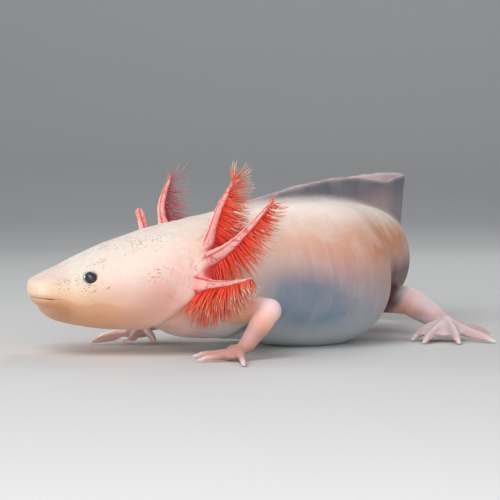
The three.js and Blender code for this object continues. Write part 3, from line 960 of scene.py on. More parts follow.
@dataclass(frozen=True)
class MoistSkin(Finish):
    """Bare amphibian skin: thin, moist and pale, so that blood and organs tint it from below.

    Light goes about a millimetre into it, redder the deeper, and a film of water gives
    the gloss. Black-brown pigment specks lie in clusters on the head.
    """

    cream: str = "#F8E8DC"
    cream_deep: str = "#F3DDD0"
    coats: tuple = (
        Coat("#DEE3E4", "belly"),
        Coat("#DB9C90", "rose", "blotches", -0.1, 0.7),
        Coat("#E0966A", "amber", "mottle", -0.8),
        Coat("#5F7E95", "slate", "mottle", -4.0),
        Coat("#DB9C90", "streak", "streaks", 0.48, 0.8, 0.5),
        Coat("#E2D9DE", "streak", "streaks", 0.5, 0.3, 0.25),
        Coat("#EBC49C", "lip"),
        Coat("#DC9F74", "jaw"),
        Coat("#FFB490", "limb"),
        Coat("#BF928A", "hand"),
        # painted shade: darkens the armpits' creases, the lower hind quarters, the cheeks and the front of
        # the snout and lower jaw
        Coat("#4C1F19", "shade"),
        Coat("#70747F", "fin", "mottle", -5.0),
        Coat("#C8AEAA", "thin", "mottle", -1.6),
        Coat("#DB9C90", "fin", "rays", 0.35, 0.75, 0.07),
        Coat("#CDBFC2", "rim"),
        Coat("#EDB2AC", "stalk"),
        # pale: pale toes and feet, with painted light on the legs' upper sides and the far hand, and painted
        # highlight on elbows and knees
        Coat("#E2D9DE", "pale"),
        Coat("#C42528", "blood"),
        Coat("#C42528", "veins", "vein_net", ease=Ease.STRAIGHT),
        Coat("#C42528", "stalk", "vessel_line", most=0.7, ease=Ease.STRAIGHT),
        Coat("#33241F", "specks", "dots", ease=Ease.STRAIGHT),
        # seam: the lips' dark line, with painted shade in the mouth's slit and in the crease under each eye
        Coat("#5A2E22", "seam"),
    )
    # cells in a millimetre, detail and roughness of each noise
    noises: tuple = (
        ("mottle", 0.16, 3.0, 0.55), ("fine", 0.7, 4.0, 0.55), ("blotches", 0.11, 3.0, 0.55),
        ("gaps", 0.5, 1.0, 0.55), ("clusters", 0.3, 4.0, 0.65), ("film", 1.6, 3.0, 0.55),
        ("grain", 3.2, 3.0, 0.6), ("wander", 0.5, 2.0, 0.5), ("jitter", 3.6, 2.0, 0.5),
    )
    # values of some noises that become 0 and full, and what full is
    contrasts: tuple = (
        ("mottle", 0.3, 0.72, 1.0), ("fine", 0.25, 0.8, 1.0), ("gaps", 0.4, 0.6, 1.0),
        ("clusters", 0.45, 0.75, 0.55),
    )
    dot_cells: float = 3.2  # cells in a millimetre that hold a speck each
    vein_cells: float = 0.42
    rough: tuple = (0.42, 0.58)

    def build(self) -> bpy.types.Material:
        """Lays the coats over the cream ground and adds the film of water and the fine bump.

        Returns:
            The material.
        """
        material, tree = self.start("moist_axolotl_skin")
        place = add_node(tree, "ShaderNodeTexCoord").outputs["Object"]
        settings = {"operation": "SCALE", "Scale": 1 / MM}
        mm = add_node(tree, "ShaderNodeVectorMath", settings, {0: place}).outputs["Vector"]
        patterns = self.patterns(tree, mm)
        ground = {"data_type": "RGBA", 6: linear(self.cream), 7: linear(self.cream_deep)}
        colour = add_node(tree, "ShaderNodeMix", ground, {0: patterns["fine"]}).outputs[2]
        for coat in self.coats:
            share = add_node(tree, "ShaderNodeAttribute", {"attribute_name": coat.field}).outputs["Fac"]
            if coat.pattern:
                settings = {
                    "interpolation_type": coat.ease.value, "From Min": coat.low,
                    "From Max": coat.high, "To Max": coat.most,
                }
                links = {"Value": patterns[coat.pattern]}
                broken = add_node(tree, "ShaderNodeMapRange", settings, links).outputs[0]
                links = {0: share, 1: broken}
                share = add_node(tree, "ShaderNodeMath", {"operation": "MULTIPLY"}, links).outputs[0]
            settings = {"data_type": "RGBA", 7: linear(coat.colour)}
            colour = add_node(tree, "ShaderNodeMix", settings, {0: share, 6: colour}).outputs[2]
        settings = {"To Min": self.rough[0], "To Max": self.rough[1]}
        rough = add_node(tree, "ShaderNodeMapRange", settings, {"Value": patterns["film"]})
        settings = {"Strength": 0.22, "Distance": 0.00022}
        bump = add_node(tree, "ShaderNodeBump", settings, {"Height": patterns["grain"]})
        shader = add_node(
            tree,
            "ShaderNodeBsdfPrincipled",
            {
                "Subsurface Weight": 0.85, "Subsurface Radius": (1.0, 0.42, 0.28),
                "Subsurface Scale": 0.0016, "IOR": 1.4, "Specular IOR Level": 0.35,
                "Coat Weight": 0.12, "Coat Roughness": 0.22, "Coat IOR": 1.33,
            },
            {"Base Color": colour, "Roughness": rough.outputs[0], "Normal": bump.outputs["Normal"]},
        )
        add_node(tree, "ShaderNodeOutputMaterial", {}, {"Surface": shader.outputs[0]})
        return material

    def patterns(
        self, tree: bpy.types.NodeTree, mm: bpy.types.NodeSocket
    ) -> dict[str, bpy.types.NodeSocket]:
        """Adds the patterns that break up the tints.

        Args:
            tree: node tree that they go into.
            mm: place on the animal in millimetres.

        Returns:
            The patterns' values by name.
        """
        noises = {}
        for name, scale, detail, rough in self.noises:
            settings = {"Scale": scale, "Detail": detail, "Roughness": rough}
            noises[name] = add_node(tree, "ShaderNodeTexNoise", settings, {"Vector": mm})
        found = {name: noise.outputs["Fac"] for name, noise in noises.items()}
        for name, low, high, full in self.contrasts:
            settings = {
                "interpolation_type": Ease.SMOOTH.value, "From Min": low, "From Max": high, "To Max": full,
            }
            found[name] = add_node(tree, "ShaderNodeMapRange", settings, {"Value": found[name]}).outputs[0]
        # streaks run down the flanks, and the fin's rays run up and down, so both follow the body
        flow = add_node(tree, "ShaderNodeAttribute", {"attribute_name": "flow"}).outputs["Vector"]
        settings = {"operation": "MULTIPLY", 1: (0.85, 0.07, 1.0)}
        comb = add_node(tree, "ShaderNodeVectorMath", settings, {0: flow})
        settings = {"operation": "MULTIPLY", 1: (0.7, 0.0, 0.0)}
        along = add_node(tree, "ShaderNodeVectorMath", settings, {0: flow})
        settings = {"operation": "MULTIPLY_ADD", 1: (0.1, 0.1, 0.1)}
        fan = add_node(tree, "ShaderNodeVectorMath", settings, {0: mm, 2: along.outputs[0]})
        for name, place in (("streaks", comb), ("rays", fan)):
            settings = {"Scale": 1.0, "Detail": 3.0, "Roughness": 0.6}
            links = {"Vector": place.outputs[0]}
            found[name] = add_node(tree, "ShaderNodeTexNoise", settings, links).outputs["Fac"]
        found["vein_net"] = self.vein_net(tree, mm, noises["wander"].outputs["Color"], found["gaps"])
        vessel = add_node(tree, "ShaderNodeAttribute", {"attribute_name": "vessel"}).outputs["Fac"]
        settings = {"operation": "COMPARE", 1: -0.6, 2: 0.11}
        found["vessel_line"] = add_node(tree, "ShaderNodeMath", settings, {0: vessel}).outputs[0]
        found["dots"] = self.dots(tree, mm, noises["jitter"].outputs["Color"], found["clusters"])
        return found

    def vein_net(
        self, tree: bpy.types.NodeTree, mm: bpy.types.NodeSocket,
        wander: bpy.types.NodeSocket, gaps: bpy.types.NodeSocket,
    ) -> bpy.types.NodeSocket:
        """Fine wandering blood vessels: the edges of bent cells, with gaps.

        Args:
            tree: node tree that they go into.
            mm: place in millimetres.
            wander: noise that bends the cells.
            gaps: where the vessels show.

        Returns:
            Strength of the vessels.
        """
        settings = {"operation": "MULTIPLY_ADD", 1: (2.4, 2.4, 2.4)}
        bent = add_node(tree, "ShaderNodeVectorMath", settings, {0: wander, 2: mm}).outputs[0]
        settings = {"feature": "DISTANCE_TO_EDGE", "Scale": self.vein_cells}
        cells = add_node(tree, "ShaderNodeTexVoronoi", settings, {"Vector": bent})
        settings = {"From Min": 0.07, "From Max": 0.02, "To Max": 0.62}
        vein = add_node(tree, "ShaderNodeMapRange", settings, {"Value": cells.outputs["Distance"]})
        links = {0: vein.outputs[0], 1: gaps}
        return add_node(tree, "ShaderNodeMath", {"operation": "MULTIPLY"}, links).outputs[0]

    def dots(
        self, tree: bpy.types.NodeTree, mm: bpy.types.NodeSocket,
        jitter: bpy.types.NodeSocket, clusters: bpy.types.NodeSocket,
    ) -> bpy.types.NodeSocket:
        """Ragged pigment specks of differing sizes, one in a cell, larger where they cluster.

        Args:
            tree: node tree that they go into.
            mm: place in millimetres.
            jitter: noise that frays their edges.
            clusters: where they lie close.

        Returns:
            1 on a speck and 0 beside it.
        """
        settings = {"operation": "MULTIPLY_ADD", 1: (0.3, 0.3, 0.3)}
        ragged = add_node(tree, "ShaderNodeVectorMath", settings, {0: jitter, 2: mm}).outputs[0]
        cells = add_node(tree, "ShaderNodeTexVoronoi", {"Scale": self.dot_cells}, {"Vector": ragged})
        settings = {"To Min": -0.85, "To Max": 0.16}
        size = add_node(tree, "ShaderNodeMapRange", settings, {"Value": cells.outputs["Color"]})
        spray = add_node(tree, "ShaderNodeAttribute", {"attribute_name": "spray"}).outputs["Fac"]
        settings = {"operation": "MULTIPLY_ADD", 1: 0.6}
        lift = add_node(tree, "ShaderNodeMath", settings, {0: spray, 2: size.outputs[0]}).outputs[0]
        reach = add_node(tree, "ShaderNodeMath", {"operation": "ADD"}, {0: lift, 1: clusters}).outputs[0]
        least = add_node(tree, "ShaderNodeMath", {"operation": "MINIMUM", 1: 0.37}, {0: reach}).outputs[0]
        links = {0: cells.outputs["Distance"], 1: least}
        return add_node(tree, "ShaderNodeMath", {"operation": "LESS_THAN"}, links).outputs[0]


@dataclass(frozen=True)
class GillFilament(Finish):
    """Gill filaments: thin-walled threads full of blood.

    They are deep red where they crowd and pale at the tips, and their film of water shines.
    """

    root: str = "#E02A1A"
    middle: str = "#F4482A"
    outer: str = "#EE8262"
    tip: str = "#F4DAD0"

    def build(self, name: str) -> bpy.types.Material:
        """Runs the colours along each thread and varies them from thread to thread.

        Args:
            name: name of the material.

        Returns:
            The material.
        """
        material, tree = self.start(name)
        along = add_node(tree, "ShaderNodeAttribute", {"attribute_name": "along"}).outputs["Fac"]
        vary = add_node(tree, "ShaderNodeAttribute", {"attribute_name": "vary"}).outputs["Fac"]
        shift = add_node(tree, "ShaderNodeMath", {"operation": "MULTIPLY_ADD", 1: 0.3, 2: -0.15}, {0: vary})
        place = add_node(tree, "ShaderNodeMath", {"operation": "ADD"}, {0: along, 1: shift.outputs[0]})
        ramp = add_node(tree, "ShaderNodeValToRGB", {}, {"Fac": place.outputs[0]})
        stops = ramp.color_ramp.elements
        stops[0].position, stops[0].color = 0.05, linear(self.root)
        stops[1].position, stops[1].color = 1.0, linear(self.tip)
        for where, colour in ((0.38, self.middle), (0.76, self.outer)):
            stops.new(where).color = linear(colour)
        shader = add_node(
            tree,
            "ShaderNodeBsdfPrincipled",
            {
                "Subsurface Weight": 0.3, "Subsurface Radius": (1.0, 0.2, 0.12), "Subsurface Scale": 0.0004,
                "Roughness": 0.34, "IOR": 1.4, "Coat Weight": 0.25, "Coat Roughness": 0.15,
            },
            {"Base Color": ramp.outputs["Color"]},
        )
        add_node(tree, "ShaderNodeOutputMaterial", {}, {"Surface": shader.outputs[0]})
        return material


@dataclass(frozen=True)
class WetEye(Finish):
    """A living eye: dark, flecked iris round a pupil painted dull red as a reflection.

    The wet cornea over it gives small sharp highlights.
    """

    # painted reflection: the dull red that the pupil shows
    red_pupil_reflection: str = "#5A2A2C"
    dark: str = "#15171C"
    iris: str = "#2C343C"
    fleck: str = "#A7B0B2"
    rim: str = "#8E9BB2"

    def build(self) -> bpy.types.Material:
        """Rings of colour by the distance from the eye's axis, with fine flecks in the iris.

        Returns:
            The material.
        """
        material, tree = self.start("wet_eye")
        ring = add_node(tree, "ShaderNodeAttribute", {"attribute_name": "ring"}).outputs["Fac"]
        ramp = add_node(tree, "ShaderNodeValToRGB", {}, {"Fac": ring})
        stops = ramp.color_ramp.elements
        stops[0].position, stops[0].color = 0.0, linear(self.red_pupil_reflection)
        stops[1].position, stops[1].color = 1.0, linear(self.rim)
        rings = (
            (0.24, self.red_pupil_reflection), (0.32, self.dark), (0.42, self.iris), (0.62, self.dark),
            (0.76, self.dark), (0.86, self.rim),
        )
        for where, colour in rings:
            stops.new(where).color = linear(colour)
        place = add_node(tree, "ShaderNodeTexCoord").outputs["Object"]
        # flecks of about a fifth of a millimetre
        cells = add_node(tree, "ShaderNodeTexNoise", {"Scale": 5200.0, "Detail": 2.0}, {"Vector": place})
        settings = {"From Min": 0.6, "From Max": 0.7}
        spots = add_node(tree, "ShaderNodeMapRange", settings, {"Value": cells.outputs["Fac"]})
        belt = add_node(tree, "ShaderNodeAttribute", {"attribute_name": "belt"}).outputs["Fac"]
        share = add_node(tree, "ShaderNodeMath", {"operation": "MULTIPLY"}, {0: spots.outputs[0], 1: belt})
        mixed = add_node(
            tree, "ShaderNodeMix", {"data_type": "RGBA", 7: linear(self.fleck)},
            {0: share.outputs[0], 6: ramp.outputs["Color"]},
        )
        shader = add_node(
            tree,
            "ShaderNodeBsdfPrincipled",
            {"Roughness": 0.25, "IOR": 1.38, "Coat Weight": 1.0, "Coat Roughness": 0.03, "Coat IOR": 1.4},
            {"Base Color": mixed.outputs[2]},
        )
        add_node(tree, "ShaderNodeOutputMaterial", {}, {"Surface": shader.outputs[0]})
        return material


# ------------------------------------------------------------------ head, folds and markings


@dataclass
class Face:
    """The head's own forms: mouth, lips, eyelids, nostrils and the fold behind the jaw."""

    # height of the mouth line by distance behind the snout
    mouth_marks: tuple = (
        (0, 12.2), (3.4, 12.2), (5.2, 11.9), (7.3, 11.0), (8.9, 11.0), (11, 11.5), (13, 11.4),
        (16.5, 10.6),
    )
    mouth_end: float = 16.0
    slit_end: float = 3.2  # where the open slit at the front closes
    lip: float = 0.3  # how far the upper lip stands out
    # distance behind the snout of the jaw's rear edge, by height
    fold_marks: tuple = ((4, 23.6), (6.4, 24.6), (8.3, 26.6), (10.5, 28.8), (12.2, 30.6), (15, 32.2))
    fold: float = 0.6
    eye_at: float = 10.1
    eye_side: float = 12.15
    eye_up: float = 16.6
    eye_radius: float = 1.5
    lid: float = 0.8  # how deep the eye's socket is
    # places as distances behind the snout, to the side and up
    nostril: tuple = (1.0, 5.2, 14.9)
    fold_line: tuple = ((8.0, 12.7, 14.9), (9.2, 13.4, 15.1), (10.4, 13.9, 15.0), (11.4, 14.3, 15.1))

    def eye_centre(self, body: Trunk, flank: Flank) -> Array:
        """Middle of an eyeball."""
        return body.beside(self.eye_at, flank.value * self.eye_side, self.eye_up)

    def eye_axis(self, body: Trunk, flank: Flank) -> Array:
        """The way an eye looks: outwards, a little forwards and up."""
        return unit(body.direction(self.eye_at, -0.16, flank.value, 0.32))

    def mouth_gap(self, lie: Lie) -> Array:
        """Height above the mouth line."""
        return lie.up - monotone(self.mouth_marks)(lie.at)

    def fold_gap(self, lie: Lie) -> Array:
        """Distance behind the jaw's rear edge."""
        return lie.at - monotone(self.fold_marks)(lie.up)

    def fine_places(self, body: Trunk, points: Array, lie: Lie, reach: float) -> Array:
        """Points near an eye or the mouth, where the skin needs small faces.

        Args:
            body: the trunk.
            points: the skin's points.
            lie: where they lie on the animal.
            reach: how far the fine places go past the eye's rim and the lips.

        Returns:
            Which points are in a fine place.
        """
        near = np.zeros(len(points), bool)
        for flank in Flank:
            near |= np.linalg.norm(points - self.eye_centre(body, flank), axis=1) < 1.9 + reach
        mouth = (np.abs(self.mouth_gap(lie)) < 0.7 + reach) & (lie.at < self.mouth_end + 1)
        return near | (mouth & (lie.out > -1.5))

    def under_eye(self, body: Trunk, points: Array, flank: Flank) -> Array:
        """The small fold below and in front of an eye: a bell across a short line.

        Args:
            body: the trunk.
            points: the skin's points.
            flank: which eye.

        Returns:
            How much each point belongs to the fold.
        """
        at, side, up = np.array(self.fold_line).T
        _, gap = Path(body.beside(at, flank.value * side, up)).nearest(points)
        return bell(gap, 0, 0.24)

    def relief(self, body: Trunk, points: Array, lie: Lie) -> Array:
        """How far each point moves out along its normal: lips, jaw, folds, eyes and nostrils.

        Args:
            body: the trunk.
            points: the skin's points.
            lie: where they lie on the animal.

        Returns:
            The moves in millimetres.
        """
        moved = np.zeros(len(points))
        gap = self.mouth_gap(lie)
        shown = smoothstep(self.mouth_end, self.mouth_end - 5, lie.at)
        front = smoothstep(self.slit_end + 2.0, self.slit_end - 1.0, lie.at)
        moved += shown * self.lip * (0.35 + 0.65 * front) * (bell(gap, 0.8, 0.9) - 0.6 * bell(gap, -1.0, 0.9))
        moved -= shown * (0.02 + 0.22 * front) * bell(gap, 0.0, 0.18)
        tip = smoothstep(4.5, 1.0, lie.at)
        moved += tip * (0.3 * bell(gap, -0.95, 0.6) - 0.32 * bell(gap, -2.3, 0.55))
        behind = self.fold_gap(lie)
        low = smoothstep(17.5, 13.0, lie.up)
        under = smoothstep(4.5, 8.5, lie.up)
        edge = under * bell(behind, -1.5, 2.2) - 0.9 * bell(behind, 0.9, 1.3)
        moved += low * self.fold * edge * (np.abs(behind) < 9)
        moved += 0.45 * low * bell(lie.at, 17.0, 8.0) * smoothstep(4.0, 8.0, lie.up)
        for flank in Flank:
            centre, axis = self.eye_centre(body, flank), self.eye_axis(body, flank)
            away = points - centre
            depth = away @ axis
            ring = np.linalg.norm(away - depth[:, None] * axis, axis=1)
            before = depth > -self.eye_radius
            socket = self.lid * smoothstep(1.58, 1.3, ring)
            moved += before * (0.12 * bell(ring, 1.68, 0.22) - socket - 0.05 * bell(ring, 2.3, 0.4))
            moved += before * 0.35 * bell(ring, 1.4, 2.6)
            moved -= 0.14 * self.under_eye(body, points, flank)
            at, side, up = self.nostril
            hole = np.linalg.norm(points - body.beside(at, flank.value * side, up), axis=1)
            moved += -0.35 * bell(hole, 0, 0.5) + 0.12 * bell(hole, 0.95, 0.45)
        return moved


@dataclass
class Folds:
    """Creases of the trunk and limbs: rib grooves on the flanks and wrinkles at the armpits."""

    groove_start: float = 50.0
    groove_step: float = 4.3
    groove_count: int = 11
    groove_depth: float = 0.07
    # soft swellings before the gills: place behind the snout, out and up, size and rise
    bumps: tuple = ((27.8, 11.8, 24.6, 2.6, 0.4), (31.6, 13.6, 23.4, 1.4, 0.35))

    def relief(self, body: Trunk, points: Array, lie: Lie) -> Array:
        """How far each point moves out along its normal: grooves, swellings and wrinkles.

        Args:
            body: the trunk.
            points: the skin's points.
            lie: where they lie on the animal.

        Returns:
            The moves in millimetres.
        """
        start, ends = self.groove_start, self.groove_start + self.groove_step * self.groove_count
        phase = (lie.at - start) / self.groove_step
        flank = np.cos(lie.turn) ** 2
        shown = window(lie.at, (start - 2, start + 3), (ends - 8, ends))
        groove = np.exp(-((((phase + 0.08 * np.sin(lie.turn * 3)) % 1.0) - 0.5) / 0.16) ** 2)
        moved = -self.groove_depth * shown * flank * groove * (lie.out < 0.6)
        low = smoothstep(24.0, 16.0, lie.up) * (lie.out < 1.2)
        moved += low * (0.5 * bell(lie.at, 71, 7) - 1.0 * bell(lie.at, 83.5, 4.5))
        moved -= 0.6 * Markings().armpits(body, points)
        pucker = bell(lie.at, 31.0, 3.4) * bell(lie.up, 19.0, 6.0) * (lie.out < 1.0)
        moved += 0.1 * pucker * np.sin(lie.at * 2.6 + 0.9 * np.sin(lie.up * 0.8))
        for side in Flank:
            for where, out, height, size, rise in self.bumps:
                gap = (points - body.beside(where, side.value * out, height)) * [1.0, 1.0, 1.5]
                moved += rise * bell(np.linalg.norm(gap, axis=1), 0, size)
            gap = points - body.beside(37.6, side.value * 14.0, 6.6)
            far = np.linalg.norm(gap, axis=1)
            line = np.exp(-((((gap[:, 2] + 0.25 * lie.at) % 1.15) - 0.57) / 0.22) ** 2)
            moved -= 0.22 * bell(far, 0, 3.6) * line
        x, y, z = points.T
        wave = np.sin(x * 0.9 + 1.3 * np.sin(y * 0.55)) * np.sin(y * 0.8 + z * 0.6)
        return moved + 0.07 * wave * smoothstep(48, 40, lie.at) * smoothstep(10, 24, lie.at)


@dataclass
class Markings:
    """Fields that say where each tint of the skin lies, and where shade is painted on it, all from 0 to 1.

    Attributes:
        sprays: clusters of specks, as share, distance behind the snout and its spread, height
            and its spread.
        crease: the armpit's crease, darkened with painted shade, as distances behind the snout, to the side
            and up.
        trunk: where the tints of the trunk set in, as distances behind the snout.
        tail: where they fade.
        rear: where the tints of the hind quarters set in and end; the painted shade there ends with them.
    """

    sprays: tuple = (
        (0.9, 6.0, 3.6, 15.8, 2.0), (0.5, 10.5, 3.0, 19.5, 1.6), (0.7, 14.5, 1.6, 14.8, 1.2),
        (0.6, 17.0, 4.0, 22.6, 1.6), (0.8, 20.5, 2.6, 23.8, 1.2), (0.9, 24.5, 2.4, 24.6, 1.2),
        (0.65, 24.0, 2.4, 17.0, 2.8), (0.6, 30.5, 1.8, 15.5, 2.0),
    )
    crease: tuple = ((45.0, 15.5, 8.0), (42.8, 12.4, 5.8), (41.6, 9.0, 4.4), (40.4, 5.0, 3.4))
    trunk: tuple = (38, 52)
    tail: tuple = (98, 128)
    rear: tuple = ((78, 94), (112, 150))

    def fields(self, body: Trunk, fins: Fins, face: Face, points: Array, lie: Lie) -> dict[str, Array]:
        """Values of every field at the points.

        Args:
            body: the trunk.
            fins: the fins.
            face: the head's forms.
            points: the skin's points, in millimetres.
            lie: where they lie on the animal.

        Returns:
            Values by field name.
        """
        at, up, out = lie.at, lie.up, lie.out
        high = (up - body.under(at)) / np.maximum(body.back(at) - body.under(at), 1)
        stalk, flush, hollow, bed, across = self.gills(body, points)
        leg, pale_and_lit, hand = self.legs(points)
        fin, thin, rim = self.fins(body, fins, lie, (1 - stalk) * (1 - leg))
        clear = (1 - stalk) * (1 - leg * smoothstep(0.3, 1.6, out))
        plain = clear * (1 - fin)
        trunk = self.on_trunk(at, up, high)
        head = self.on_head(face, lie, high)
        # painted shade: the hind quarters, the cheek and snout front, and the armpits' creases
        shade = np.maximum(self.shadows(lie) + head["shade"], 0.8 * self.armpits(body, points))
        rose = trunk["rose"] + 0.75 * hollow + 0.5 * flush + head["rose"]
        spray = [
            share * bell(at, where, long) * bell(up, height, tall)
            for share, where, long, height, tall in self.sprays
        ]
        bare = 0.3 * bell(at, 31.5, 4.0) * bell(high, 0.5, 0.3) * (out > -2)
        # the small crease under each eye gets the seam's dark tint: painted shade
        seam = self.seam(face, lie) + 0.16 * sum(face.under_eye(body, points, side) for side in Flank)
        return {
            "amber": np.clip(trunk["amber"] * plain, 0, 1),
            "rose": np.clip(rose * plain, 0, 1),
            "slate": np.clip(trunk["slate"] * plain, 0, 0.85),
            "belly": np.clip(trunk["belly"] * plain, 0, 1) * 0.85,
            "streak": np.clip(trunk["streak"] * plain, 0, 1),
            "jaw": np.clip(head["jaw"], 0, 0.9) * plain,
            "lip": np.clip(head["lip"] * plain, 0, 1) * 0.8,
            "shade": np.clip(shade * (1 - fin), 0, 0.9),
            "limb": np.clip(leg * smoothstep(-0.8, 1.6, out), 0, 1) * 0.85,
            "hand": np.clip(hand * leg * smoothstep(-0.4, 1.2, out), 0, 0.9),
            "fin": np.clip(fin, 0, 1),
            "thin": np.clip(thin, 0, 1),
            "rim": np.clip(rim, 0, 1) * 0.5,
            "stalk": stalk,
            "pale": np.clip(pale_and_lit, 0, 1) * 0.72 * smoothstep(0.6, 2.6, out),
            "blood": np.clip(bed * stalk + 1.1 * hollow * (out > -2.5), 0, 0.92),
            "veins": np.clip(stalk + bare, 0, 1),
            "vessel": across,
            "specks": np.clip(head["specks"] * clear, 0, 1),
            "spray": np.max(spray, axis=0),
            "seam": np.clip(seam, 0, 1),
            "flow": np.stack([at, lie.turn * 18.0, np.zeros(len(at))], axis=1),
        }

    def fins(self, body: Trunk, fins: Fins, lie: Lie, free: Array) -> tuple[Array, Array, Array]:
        """How much each point belongs to a fin, to its thin rosy parts and to its free rim.

        Args:
            body: the trunk.
            fins: the fins.
            lie: where the points lie on the animal.
            free: 1 where no gill or leg lies.

        Returns:
            The three shares.
        """
        at, up, left, out = lie.at, lie.up, lie.left, lie.out
        beside = np.abs(left)
        fin = smoothstep(-0.5, 1.7, out) * np.maximum(smoothstep(6.5, 1, beside), smoothstep(0.8, 1.8, out))
        fin = fin * smoothstep(8, 6, beside) * free * smoothstep(42, 48, at)
        fin = np.maximum(fin, smoothstep(body.end - 16, body.end - 2, at))
        far = smoothstep(0.6, -0.6, left - fins.leaning(at))
        low = smoothstep(82, 104, at) * smoothstep(37, 28, up) * (1 - far)
        thin = np.maximum(low, 0.7 * far * smoothstep(104, 92, at)) * smoothstep(124, 116, at)
        thin = fin * np.maximum(thin, smoothstep(118, 162, at))
        lower = (at > fins.keel_start + 4) * smoothstep(1.1, 0.3, up - fins.keel(at))
        return fin, thin, fin * np.maximum(smoothstep(1.1, 0.3, fins.crest(at) - up), lower)

    def on_trunk(self, at: Array, up: Array, high: Array) -> dict[str, Array]:
        """Tints of the trunk: amber and rose above, the slate of the organs, the pale belly, and a slate-grey
        painted shade low on the belly's rear.

        Args:
            at: distances behind the snout.
            up: heights above the floor.
            high: heights as shares of the body's depth.

        Returns:
            Strengths by field name.
        """
        trunk, tail = smoothstep(*self.trunk, at), smoothstep(*self.tail, at)
        rear = window(at, *self.rear)
        organ = smoothstep(36, 47, at) * bell(at, 50.0, 11.5) * smoothstep(0.0, 0.3, high)
        slate = 0.85 * organ * bell(np.maximum(high, 0.36), 0.36, 0.22)
        # the last term, grey low on the belly's rear, is painted shade where the light falls off
        slate = slate + 0.3 * trunk * bell(high, 0.15, 0.28) + 0.3 * bell(at, 68, 9) * bell(high, 0.35, 0.25)
        rose = 0.75 * trunk * bell(high, 0.52, 0.26) + 0.5 * bell(at, 31, 7.5) * bell(high, 0.42, 0.3)
        belly = smoothstep(27, 33, at) * smoothstep(0.5 - 0.12 * smoothstep(48, 40, at), 0.12, high)
        amber = trunk * bell(high, 0.7, 0.17) * (0.4 + 0.6 * bell(at, 78, 16))
        return {
            "amber": 1.25 * amber * (1 - 0.6 * tail),
            "rose": rose + 0.45 * rear * smoothstep(25, 18, up),
            "slate": slate * (1 - 0.5 * tail) * (1 - rear),
            "belly": belly * (1 - 0.8 * rear),
            "streak": trunk * bell(high, 0.45, 0.28) * (1 - 0.8 * np.clip(slate, 0, 1)),
        }

    def on_head(self, face: Face, lie: Lie, high: Array) -> dict[str, Array]:
        """Tints of the head: the yellow jaw and lips, the rosy cheek and the specks, with painted shade on
        the cheek and the front of the snout and lower jaw.

        Args:
            face: the head's forms.
            lie: where the points lie on the animal.
            high: heights as shares of the body's depth.

        Returns:
            Strengths by field name.
        """
        at, gap = lie.at, face.mouth_gap(lie)
        jaw = 0.26 * smoothstep(0.3, -0.3, gap) + 0.6 * smoothstep(3.0, -3.5, gap)
        # the chin's extra jaw tint is partly the jaw's own yellow, partly painted shade on the lower jaw's
        # front
        chin = smoothstep(7, 2, at) * smoothstep(0.3, -1.5, gap)
        cheek = smoothstep(40, 32, at) * smoothstep(0.55, 0.2, high) * smoothstep(6, 20, at)
        blush = 0.45 * window(at, (2, 12), (22, 34)) * bell(high, 0.45, 0.22)
        blush = blush + 0.1 * bell(at, 33, 5) * bell(high, 0.5, 0.3)
        specks = smoothstep(48, 34, at) * smoothstep(0.28, 0.45, high)
        # painted shade on the front of the snout, deeper on the lower jaw below the mouth line
        snout = smoothstep(10, 3, at) * (0.07 + 0.22 * smoothstep(0.3, -2.0, gap))
        return {
            "jaw": smoothstep(33, 10, at) * jaw + 0.5 * chin,
            "lip": smoothstep(24, 6, at) * bell(gap, 0.0, 4.0),
            "rose": 0.45 * cheek + smoothstep(43, 36, at) * blush,
            # the first term is a faint painted shade over the cheek
            "shade": 0.09 * window(at, (4, 14), (27, 36)) * bell(high, 0.45, 0.22) + snout,
            "specks": specks * (0.7 + 0.3 * bell(at, 16, 12)),
        }

    def shadows(self, lie: Lie) -> Array:
        """Painted shade, dull red, low on the hind quarters; stronger on the left flank, which faces the
        camera.

        Args:
            lie: where the points lie on the animal.

        Returns:
            Its strength at each point.
        """
        low = window(lie.at, (76, 88), self.rear[1]) * smoothstep(21, 13, lie.up)
        return 1.1 * low * smoothstep(4.5, 2.0, lie.out) * (0.25 + 0.75 * smoothstep(-4, 4, lie.left))

    def seam(self, face: Face, lie: Lie) -> Array:
        """The dark line between the lips; deep in the open slit at the front it is painted shade.

        Args:
            face: the head's forms.
            lie: where the points lie on the animal.

        Returns:
            How dark the line is at each point.
        """
        slit = smoothstep(face.slit_end, face.slit_end - 0.8, lie.at)
        slit = slit * (0.3 + 0.5 * smoothstep(1.0, 2.4, lie.at))
        line = smoothstep(0.2, 0.08, np.abs(face.mouth_gap(lie)))
        return line * (0.06 * smoothstep(face.mouth_end, 8, lie.at) + slit)

